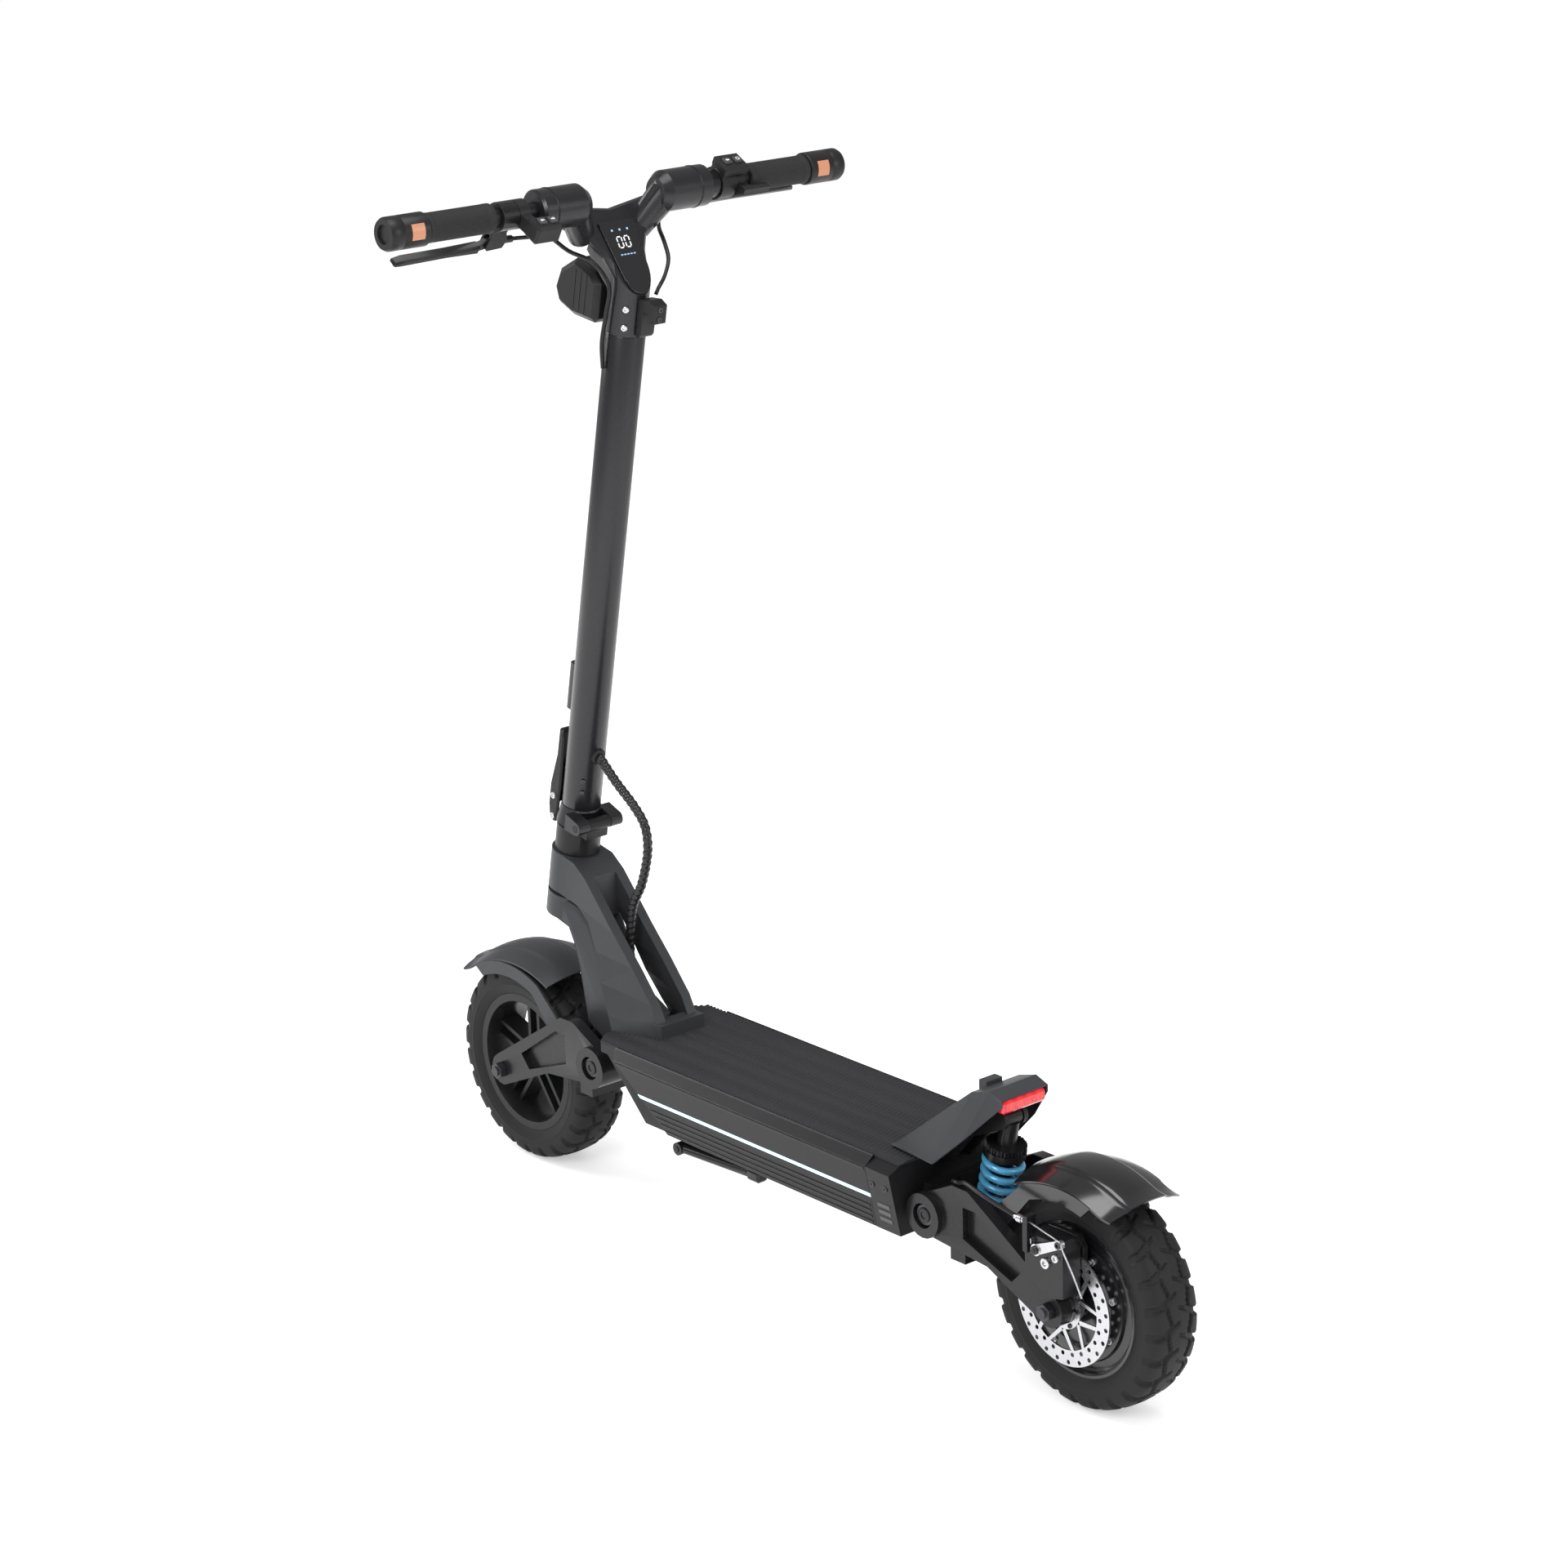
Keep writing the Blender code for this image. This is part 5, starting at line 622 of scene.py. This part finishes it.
# Tail lamp: a red lens with five diodes, tucked under the rear edge of the kick plate.
# Its ripples are a wave over its width, and each diode is a small lathed dome.
red_lens = bpy.data.materials.new("red_lens")
shade = new_tree(red_lens)
place = shade.make("ShaderNodeTexCoord", out="Object")
ripple = shade.make("ShaderNodeTexWave", {"bands_direction": "Y"}, {"Vector": place, "Scale": 22.0})
glow = ripple.blend((0.35, 0.005, 0.01, 1.0), (0.95, 0.05, 0.05, 1.0))
shade.surface({"Base Color": (0.55, 0.01, 0.02, 1.0), "Roughness": 0.12, "Coat Weight": 0.6,
               "Emission Color": glow, "Emission Strength": 0.35})
dressed("tail_light", red_lens, 0.0005)
lamp_low, lamp_high = (np.array(corner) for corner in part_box("tail_light"))
lamp_mid = (lamp_low[2] + lamp_high[2]) / 2.0
dome = [(0.0, 0.0012), (0.0016, 0.0010), (0.0024, 0.0), (0.0, 0.0)]
diodes = [turned(dome, (lamp_low[0] + 0.0001, y, lamp_mid), (-1.0, 0.0, 0.0), 16)
          for y in np.linspace(-0.024, 0.024, 5)]
diode_red = finish("diode_red", (0.9, 0.08, 0.06), 0.2, coat=0.4)
piece("tail_diodes", diodes, "frame", diode_red)

# Neck: two splayed cast legs in graphite paint that carry the steering head.
# Their edges are rounded a little, and their feet stand on the deck.
dressed("frame_neck", graphite, 0.0016)

# Fork: one bowed casting from the crown to the front hinge barrel, painted like the neck.
# The stem base above it is a black collar with the fold hinge's middle knuckle.
dressed("fork", graphite, 0.0014)
dressed("stem_base", cast_black, 0.0010)
STEM_FOOT = np.array((0.3964, 0.0, 0.4248))
STEM_UP = np.array((-0.198684, 0.0, 0.980064))
STEM_FRONT = np.array((0.980064, 0.0, 0.198684))
LEFT = np.array((0.0, 1.0, 0.0))


def stem_at(forward, left, up):
    """A place seen from the foot of the steering axis: ahead of it, to the left, and up along it."""
    return STEM_FOOT + forward * STEM_FRONT + left * LEFT + up * STEM_UP


# Fold latch: a pressed steel channel that hooks over the stem's front, painted black.
# It has two bright rivets on each side.
dressed("fold_latch", cast_black, 0.0010)
rivets = [bolt(stem_at(forward, side * 0.0121, up), (0.0, side, 0.0), 0.0042, 0.0016)
          for forward, up in ((0.0375, 0.0291), (0.0390, 0.0560)) for side in (-1.0, 1.0)]
piece("latch_rivets", rivets, "latch", bright_steel)

# Stem: a drawn aluminium tube in satin black on a hinged foot, with a cover strip low on its front.
# A round rubber grommet at its back lets the wiring out, over two small screws.
stem_paint = finish("stem_paint", (0.014, 0.014, 0.016), 0.28, metallic=0.3, mottle=0.06, grain=2400.0,
                    shine=0.6)
dressed("stem_foot", stem_paint, 0.0012)
STEM_RADIUS = 0.0235
STEM_LOW, STEM_TOP = 0.0605, 0.665
tube_skin = [(0.0209, STEM_LOW), (0.0232, STEM_LOW), (STEM_RADIUS, STEM_LOW + 0.0006),
             (STEM_RADIUS, STEM_TOP - 0.0006), (0.0232, STEM_TOP), (0.0209, STEM_TOP)]
cover = eased([(0.0215, -0.0090), (0.0330, -0.0090), (0.0362, -0.0060), (0.0362, 0.0060), (0.0330, 0.0090),
               (0.0215, 0.0090)], 1, closed=True)
COVER_LOW, COVER_HIGH = 0.176, 0.236


def stem_prism(section, low, high):
    """A closed section of (forward, left) carried straight up the stem between two heights."""
    flat = section[:, :1] * STEM_FRONT + section[:, 1:] * LEFT
    return prism(STEM_FOOT + flat, low * STEM_UP, high * STEM_UP)


tube_parts = [turned(tube_skin, STEM_FOOT, STEM_UP, 96, closed=True),
              stem_prism(cover, COVER_LOW, COVER_HIGH)]
piece("stem_tube_skin", tube_parts, "stem", stem_paint, replaces=("stem_tube",))
GROMMET_UP = 0.1325
grommet = [(0.0, 0.0030), (0.0060, 0.0030), (0.0085, 0.0026), (0.0098, 0.0010), (0.0098, -0.0030),
           (0.0, -0.0030)]
soft_black = finish("soft_black", (0.012, 0.012, 0.013), 0.5, mottle=0.2)
piece("stem_grommet", [turned(grommet, stem_at(-STEM_RADIUS, 0.0, GROMMET_UP), -STEM_FRONT, 32)], "stem",
      soft_black)
low_screws = [bolt(stem_at(-0.0176, 0.0156, up), -STEM_FRONT * 0.75 + LEFT * 0.66, 0.0030, 0.0014)
              for up in (0.085, 0.100)]
clamp_screws = [bolt(stem_at(-0.0166, side * 0.0166, STEM_TOP + up), side * LEFT * 0.7 - STEM_FRONT * 0.7,
                     0.0038, 0.0024) for up in (0.012, 0.034) for side in (-1.0, 1.0)]
piece("stem_screws", low_screws, "stem", dark_steel)
piece("stem_clamp_screws", clamp_screws, "stem", bright_steel)

# Handlebar head: a Y-shaped casting on the tube with a socket pod for each bar half, in the stem's satin
# black paint.
# Each pod has a seam ring round its outer end.
dressed("handlebar_head", stem_paint, 0.0012)
BAR = stem_at(0.0319, 0.0, 0.8139)
seam = [(0.0240, -0.0010), (0.0246, -0.0005), (0.0246, 0.0005), (0.0240, 0.0010), (0.0232, 0.0)]
pod_rings = [turned(seam, BAR + (0.0, y, 0.0), segments=64, closed=True) for y in (-0.104, 0.104)]
piece("pod_seam_rings", pod_rings, "stem", cast_black)
for label in ("left", "right"):
    dressed(f"bar_tube_{label}", cast_black, 0.0003)

# Display: a gloss black shield of polycarbonate over lit segments, bonded on the head's sloping face.
# It shows two figures, a charge row of five dashes and three small marks.
dressed("display_panel", gloss_black, 0.0005)
PANEL_TILT = math.radians(41.0)
PANEL_AT = stem_at(-0.0214, 0.0, 0.718)
PANEL_UP = math.sin(PANEL_TILT) * STEM_FRONT + math.cos(PANEL_TILT) * STEM_UP
PANEL_OUT = math.sin(PANEL_TILT) * STEM_UP - math.cos(PANEL_TILT) * STEM_FRONT
PANEL_FACE = 0.0025


def panel_bar(along, left, half_along, half_left):
    """A lit bar just proud of the panel's face: four corners carried out by a hair."""
    corner = np.array(((-1.0, -1.0), (1.0, -1.0), (1.0, 1.0), (-1.0, 1.0)))
    flat = (along + half_along * corner[:, :1]) * PANEL_UP + (left + half_left * corner[:, 1:]) * LEFT
    return prism(PANEL_AT + flat, (PANEL_FACE - 0.0003) * PANEL_OUT, (PANEL_FACE + 0.00025) * PANEL_OUT)


def lit(name, colour, strength):
    """Lit segments: their own colour given off, a little uneven from the diodes behind."""
    material = bpy.data.materials.new(name)
    shade = new_tree(material)
    place = shade.make("ShaderNodeTexCoord", out="Object")
    uneven = shade.make("ShaderNodeTexNoise", None, {"Vector": place, "Scale": 320.0})
    glow = uneven.blend((*(0.8 * level for level in colour), 1.0), (*colour, 1.0))
    shade.surface({"Base Color": (0.1, 0.1, 0.1, 1.0), "Roughness": 0.3, "Emission Color": glow,
                   "Emission Strength": strength})
    return material


DIGIT_AT, DIGIT_HIGH, DIGIT_WIDE = 0.0620, 0.0066, 0.0032
STROKE, STROKE_GAP = 0.0007, 0.0009
figures = []
for left in (0.0052, -0.0052):
    figures += [panel_bar(DIGIT_AT + end * DIGIT_HIGH, left, STROKE, DIGIT_WIDE - STROKE_GAP)
                for end in (-1.0, 1.0)]
    figures += [panel_bar(DIGIT_AT + end * DIGIT_HIGH / 2.0, left + side * DIGIT_WIDE,
                          DIGIT_HIGH / 2.0 - STROKE_GAP, STROKE)
                for end in (-1.0, 1.0) for side in (-1.0, 1.0)]
piece("display_figures", figures, "stem", lit("lit_white", (0.95, 0.98, 1.0), 1.2))
dashes = [panel_bar(0.0470, left, 0.0007, 0.0015) for left in np.linspace(-0.0090, 0.0090, 5)]
marks = [panel_bar(0.0770, left, 0.0012, 0.0012) for left in (-0.0110, 0.0, 0.0110)]
piece("display_marks", dashes + marks, "stem", lit("lit_blue", (0.35, 0.62, 1.0), 1.0))

# Headlight: a moulded pod on the stem's front with three cooling ribs round it and a clear lens ahead.
# The ribs are square hoops, and the lens is a lathed dome.
moulded = finish("moulded_black", (0.010, 0.010, 0.011), 0.4, mottle=0.15)
dressed("headlight_housing", moulded, 0.0008)
lens_clear = finish("lens_clear", (0.62, 0.66, 0.70), 0.08, coat=1.0, mottle=0.2)
lens_dome = [(0.0, 0.0018), (0.010, 0.0012), (0.0135, 0.0), (0.0145, -0.0030), (0.0, -0.0030)]
lens_skin = turned(lens_dome, stem_at(0.0990, 0.0, 0.6985), STEM_FRONT * 0.96 + STEM_UP * 0.28, 40)
piece("headlight_lens", [lens_skin], "stem", lens_clear)
hoop = np.array(((-0.0274, 0.674), (-0.0274, 0.722), (0.0274, 0.722), (0.0274, 0.674)))
hoop = STEM_FOOT + hoop[:, :1] * LEFT + hoop[:, 1:] * STEM_UP
RIB_HALF = 0.0012
lamp_ribs = [prism(hoop, (forward - RIB_HALF) * STEM_FRONT, (forward + RIB_HALF) * STEM_FRONT)
             for forward in (0.046, 0.056, 0.066)]
piece("headlight_ribs", lamp_ribs, "stem", soft_black)

# Stow hook: a small machined block at the stem's back that catches the kick plate's tab when folded.
# Two screws hold it to the head.
dressed("stow_hook", cast_black, 0.0008)
hook_screws = [bolt(stem_at(-0.0520, -0.004, up), -STEM_FRONT, 0.0032, 0.0012) for up in (0.6955, 0.7070)]
piece("stow_hook_screws", hook_screws, "stem", dark_steel)

# Grips: rubber sleeves with a moulded diamond pattern between two plain rims.
# The pattern is sunk into the sleeve, so the outline stays round.
GRIP_INNER, GRIP_OUTER, GRIP_RADIUS, BAR_RADIUS = 0.1845, 0.2745, 0.0168, 0.0111
grip_rubber = finish("grip_rubber", (0.014, 0.014, 0.015), 0.6, mottle=0.15, tooth=0.00005)


def grip(side):
    """Radius over length and angle: a cylinder less shallow diamonds from two crossed sine waves."""
    along = np.linspace(GRIP_INNER, GRIP_OUTER, 181)[:, None]
    angle = full_turn(160)[None]
    weave = np.sin(20.0 * angle + along * 1250.0) * np.sin(20.0 * angle - along * 1250.0)
    inside = np.clip(np.minimum(along - GRIP_INNER - 0.007, GRIP_OUTER - 0.006 - along) / 0.001, 0.0, 1.0)
    rim = 1.0 - np.clip(np.minimum(along - GRIP_INNER, GRIP_OUTER - along) / 0.0012, 0.0, 1.0)
    radius = GRIP_RADIUS - 0.0009 * inside * (0.5 + 0.5 * weave) - 0.0008 * rim ** 2
    skin = np.stack((BAR[0] + radius * np.cos(angle), side * along + 0.0 * angle,
                     BAR[2] + radius * np.sin(angle)), axis=-1)
    lip, inside_radius = GRIP_RADIUS - 0.0008, BAR_RADIUS + 0.0003
    bore = [(lip, GRIP_INNER), (inside_radius, GRIP_INNER), (inside_radius, GRIP_OUTER), (lip, GRIP_OUTER)]
    return [grid(skin, wrap_columns=True), turned(bore, BAR * (1.0, 0.0, 1.0), (0.0, side, 0.0), 160)]


for label, side in (("left", 1.0), ("right", -1.0)):
    piece(f"grip_{label}_skin", grip(side), "stem", grip_rubber, replaces=(f"grip_{label}",),
          crease=60.0)

# Bar ends: moulded housings for the turn lights, lathed with a stepped end.
# A narrow amber lens is let into the back of each.
amber = lit("lit_amber", (1.0, 0.27, 0.02), 0.62)
BAR_HALF = 0.3268
housing = [(0.0114, 0.2748), (0.0178, 0.2748), (0.0190, 0.2762), (0.0190, 0.3070), (0.0184, 0.3080),
           (0.0184, 0.3096), (0.0190, 0.3106), (0.0190, 0.3236), (0.0172, BAR_HALF), (0.0110, BAR_HALF),
           (0.0104, 0.3240), (0.0, 0.3240)]
housing_bore = [(0.0114, 0.2748), (0.0114, 0.3073), (0.0, 0.3073)]
for label, side in (("left", 1.0), ("right", -1.0)):
    shell = [turned(housing, BAR, (0.0, side, 0.0), 64), turned(housing_bore, BAR, (0.0, side, 0.0), 64)]
    piece(f"bar_end_{label}_shell", shell, "stem", moulded, replaces=(f"bar_end_{label}",))
    window = np.radians(np.linspace(150.0, 205.0, 14))
    spread = np.array((0.2840, 0.3010))
    ring = np.stack((np.cos(window), np.zeros(14), np.sin(window)), -1)
    outer = BAR + 0.01925 * ring[None] + side * spread[:, None, None] * LEFT
    inner = BAR + 0.01840 * ring[None, ::-1] + side * spread[:, None, None] * LEFT
    lens_patch = grid(np.concatenate((outer, inner), axis=1), wrap_columns=True, caps=True)
    piece(f"turn_lens_{label}", [lens_patch], "stem", amber)

# Brake controls: cast perches with a slotted cheek and forged levers, both in satin black.
# Each is the frame's own skin with its edges rounded.
for label in ("left", "right"):
    dressed(f"brake_perch_{label}", satin_black, 0.0007)
    dressed(f"brake_lever_{label}", satin_black, 0.0008)

# Switch boxes: moulded cases clamped on the bar with square keys, the thumb throttle beside the right one.
# Each key has a pale arrow or ring on it.
for node in ("switch_box_left", "switch_box_right", "throttle_lever"):
    dressed(node, moulded, 0.0006)
key_grey = finish("key_grey", (0.045, 0.045, 0.048), 0.45, mottle=0.1)
print_white = finish("print_white", (0.6, 0.6, 0.6), 0.5, mottle=0.05)
KEY_OUT = np.array((-0.5, 0.0, 0.866025))
KEY_ACROSS = np.array((0.866025, 0.0, 0.5))
PRINT_SUNK, PRINT_PROUD = -0.0003, 0.0001
arrow = np.array(((0.0, 0.0030), (-0.0020, 0.0004), (-0.0008, 0.0004), (-0.0008, -0.0026), (0.0008, -0.0026),
                  (0.0008, 0.0004), (0.0020, 0.0004)))
for node, toward in (("turn_key_left", 1.0), ("turn_key_right", -1.0), ("mode_button", 1.0),
                     ("power_button", 0.0)):
    dressed(node, key_grey, 0.0004)
    key_top = middle(node) + KEY_OUT * 0.00275
    if toward:
        flat = arrow[:, :1] * KEY_ACROSS + toward * arrow[:, 1:] * LEFT
        mark = prism(key_top + flat, PRINT_SUNK * KEY_OUT, PRINT_PROUD * KEY_OUT)
    else:
        hoop = [(0.0018, PRINT_SUNK), (0.0026, PRINT_SUNK), (0.0026, PRINT_PROUD), (0.0018, PRINT_PROUD)]
        mark = turned(hoop, key_top, KEY_OUT, 32, closed=True)
    piece(f"{node}_mark", [mark], BODY_OF[node], print_white)

# Cables: the two brake hoses loop from the perches to the stem, in smooth black sheath.
# The wiring runs from the stem's grommet into the neck in a spiral-wrapped loom, swept in two halves.
cable_sheath = finish("cable_sheath", (0.010, 0.010, 0.011), 0.32, mottle=0.2)
for node in ("brake_cable_left", "brake_cable_right", "rear_brake_cable"):
    dressed(node, cable_sheath, 0.0, crease=70.0)


def through(knots, count):
    """A smooth line through its knots: a Catmull-Rom curve read at even steps of its length."""
    knots = np.asarray(knots, dtype=float)
    padded = np.vstack((2 * knots[0] - knots[1], knots, 2 * knots[-1] - knots[-2]))
    step = np.linspace(0.0, 1.0, 40, endpoint=False)[:, None]
    spans = [0.5 * (2 * b + (c - a) * step + (2 * a - 5 * b + 4 * c - d) * step ** 2
                    + (3 * b - a - 3 * c + d) * step ** 3)
             for a, b, c, d in zip(padded, padded[1:], padded[2:], padded[3:])]
    line = np.vstack(spans + [knots[-1:]])
    travel = np.concatenate(([0.0], np.cumsum(np.linalg.norm(np.diff(line, axis=0), axis=1))))
    evenly = np.linspace(0.0, travel[-1], count)
    return np.stack([np.interp(evenly, travel, line[:, k]) for k in range(3)], axis=1), travel[-1]


def swept(line, radius, sides, across=None):
    """A tube of varying radius round a line: rings across its run, from a given side or off the Y axis."""
    tangent = np.gradient(line, axis=0)
    tangent /= np.linalg.norm(tangent, axis=1, keepdims=True)
    if across is None:
        across = np.cross(LEFT, tangent)
        across /= np.linalg.norm(across, axis=1, keepdims=True)
    over = np.cross(tangent, across)
    angle = full_turn(sides)
    ring = np.cos(angle)[None, :, None] * across[:, None] + np.sin(angle)[None, :, None] * over[:, None]
    radius = radius if np.ndim(radius) == 2 else np.broadcast_to(radius, (len(line), sides))
    return grid(line[:, None] + radius[:, :, None] * ring, wrap_columns=True, caps=True)


loom_knots = [tuple(stem_at(-0.0268, 0.0, GROMMET_UP)), (0.3156, 0.0, 0.5258), (0.2813, 0.0, 0.5018),
              (0.2625, 0.0, 0.4806), (0.2596, 0.0, 0.4495), (0.2728, 0.0, 0.4073), (0.2937, 0.0, 0.3679),
              (0.300, 0.0, 0.300), (0.280, 0.0, 0.262), (0.262, 0.0, 0.2357)]
LOOM_RADIUS, LOOM_WRAP, LOOM_PITCH = 0.0052, 0.0009, 0.0085
LOOM_STEPS, LOOM_SIDES, LOOM_HELD = 460, 20, 30
loom_line, loom_length = through(loom_knots, LOOM_STEPS)
loom_turn = np.linspace(0.0, 2.0 * np.pi * loom_length / LOOM_PITCH, LOOM_STEPS)[:, None]
loom_angle = full_turn(LOOM_SIDES)[None]
loom_radius = LOOM_RADIUS + LOOM_WRAP * np.clip(0.35 + np.cos(loom_turn - loom_angle), 0.0, 0.8)
loom_black = finish("loom_wrap", (0.012, 0.012, 0.013), 0.28, coat=0.2, mottle=0.2)
half_way = LOOM_STEPS // 2


def loom_piece(name, first, last):
    """One half of the loom, swept along its share of the line and hung on no body."""
    sleeve = swept(loom_line[first:last], loom_radius[first:last], LOOM_SIDES)
    made = piece(name, [sleeve], None, loom_black, crease=80.0)
    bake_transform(made)
    return made


loom_piece("wire_loom_upper", 0, half_way + 1)
loom_lower = loom_piece("wire_loom_lower", half_way, LOOM_STEPS)
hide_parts("wire_harness")

# Rear shock: a black damper with a knurled collar, a bright rod and a blue coil spring between two seats.
# The spring is one fixed coil along the shock's line at rest, hung on no body.
spring_blue = finish("spring_blue", (0.085, 0.36, 0.60), 0.26, metallic=0.2, coat=0.6, mottle=0.1)
dressed("shock_body", satin_black, 0.0007)
dressed("shock_rod", bright_steel, 0.0004)
SHOCK_TOP = np.array((-0.3558, 0.0, 0.2928))
SHOCK_DOWN = np.array((0.187982, 0.0, -0.982172))
SPRING_RADIUS, SPRING_WIRE, SPRING_TURNS = 0.0207, 0.0042, 4.0
SPRING_FROM, SPRING_TO = 0.0525, 0.10425


def shock_spoke(angle):
    """The direction out from the shock's line at each angle."""
    return np.cos(angle)[:, None] * np.cross(SHOCK_DOWN, LEFT) + np.sin(angle)[:, None] * LEFT


def coil():
    """A helix about the shock's line with closed, flattened ends, and a round wire swept along it."""
    angle = np.linspace(-0.3, 2.0 * np.pi * SPRING_TURNS + 0.3, 260)
    share = np.clip(angle / (2.0 * np.pi * SPRING_TURNS), 0.0, 1.0)
    height = SPRING_FROM + (SPRING_TO - SPRING_FROM) * share
    spoke = shock_spoke(angle)
    line = SHOCK_TOP + SPRING_RADIUS * spoke + height[:, None] * SHOCK_DOWN
    return swept(line, SPRING_WIRE, 14, spoke)


spring = piece("shock_coil", [coil()], None, spring_blue, replaces=("shock_spring",),
               crease=80.0)
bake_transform(spring)
collar_angle = full_turn(144)
collar_radius = 0.0226 + 0.0008 * np.sign(np.sin(36.0 * collar_angle))
COLLAR_BORE, COLLAR_LOW, COLLAR_HIGH = 0.0112, 0.0330, 0.0396
collar_rows = [(COLLAR_BORE, COLLAR_LOW), (collar_radius[:, None], COLLAR_LOW),
               (collar_radius[:, None], COLLAR_HIGH), (COLLAR_BORE, COLLAR_HIGH)]
collar_points = np.stack([SHOCK_TOP + reach * shock_spoke(collar_angle) + height * SHOCK_DOWN
                          for reach, height in collar_rows])
piece("shock_collar", [grid(collar_points, wrap_rows=True, wrap_columns=True)], "shock",
      satin_black)

# Rear brake: a cable caliper on the arm, cast and painted black, with bright screws and a pressed pull arm.
# The bare inner wire runs from the adjuster past the pull arm's end and is hung on no body.
dressed("brake_caliper", satin_black, 0.0008)
dressed("caliper_arm", bright_steel, 0.0005)
CALIPER_FACE = 0.0760
PULL_PIVOT = np.array((-0.476, 0.079, 0.199))
PULL_END = np.array((-0.5113, 0.0790, 0.2159))
CABLE_STOP = np.array((-0.466, 0.0790, 0.2271))
caliper_screws = [bolt((x, CALIPER_FACE, z), (0.0, 1.0, 0.0), radius, 0.0030)
                  for x, z, radius in ((-0.463, 0.205, 0.0046), (-0.502, 0.196, 0.0046),
                                       (-0.487, 0.186, 0.0062))]
piece("caliper_screws", caliper_screws, "rear_arm", bright_steel)
pull_screw = [bolt(PULL_END + (0.0, 0.0024, 0.0), (0.0, 1.0, 0.0), 0.0042, 0.0030),
              bolt(PULL_PIVOT + (0.0, 0.0024, 0.0), (0.0, 1.0, 0.0), 0.0050, 0.0030)]
piece("pull_arm_screws", pull_screw, "caliper_arm", dark_steel)
adjuster = [(0.0, -0.0010), (0.0036, -0.0010), (0.0036, 0.0030), (0.0046, 0.0034), (0.0046, 0.0100),
            (0.0036, 0.0104), (0.0028, 0.0150), (0.0, 0.0150)]
piece("cable_adjuster", [turned(adjuster, CABLE_STOP + (0.0074, 0.0, 0.0), (1.0, 0.0, 0.0), 24)], "rear_arm",
      bright_steel)
wire_line, _ = through([CABLE_STOP, (-0.488, 0.0798, 0.2235), PULL_END + (0.0, 0.0030, 0.0040),
                        (-0.5195, 0.0815, 0.2080), (-0.5320, 0.0800, 0.1860), (-0.5430, 0.0790, 0.1645)], 80)
inner_wire = piece("brake_inner_wire", [swept(wire_line, 0.0009, 10)], None, bright_steel)
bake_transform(inner_wire)

# Kickstand: a forged leg on a bracket under the deck's left, in satin black.
# It folds back along the deck's floor.
dressed("kickstand_leg", satin_black, 0.0008)
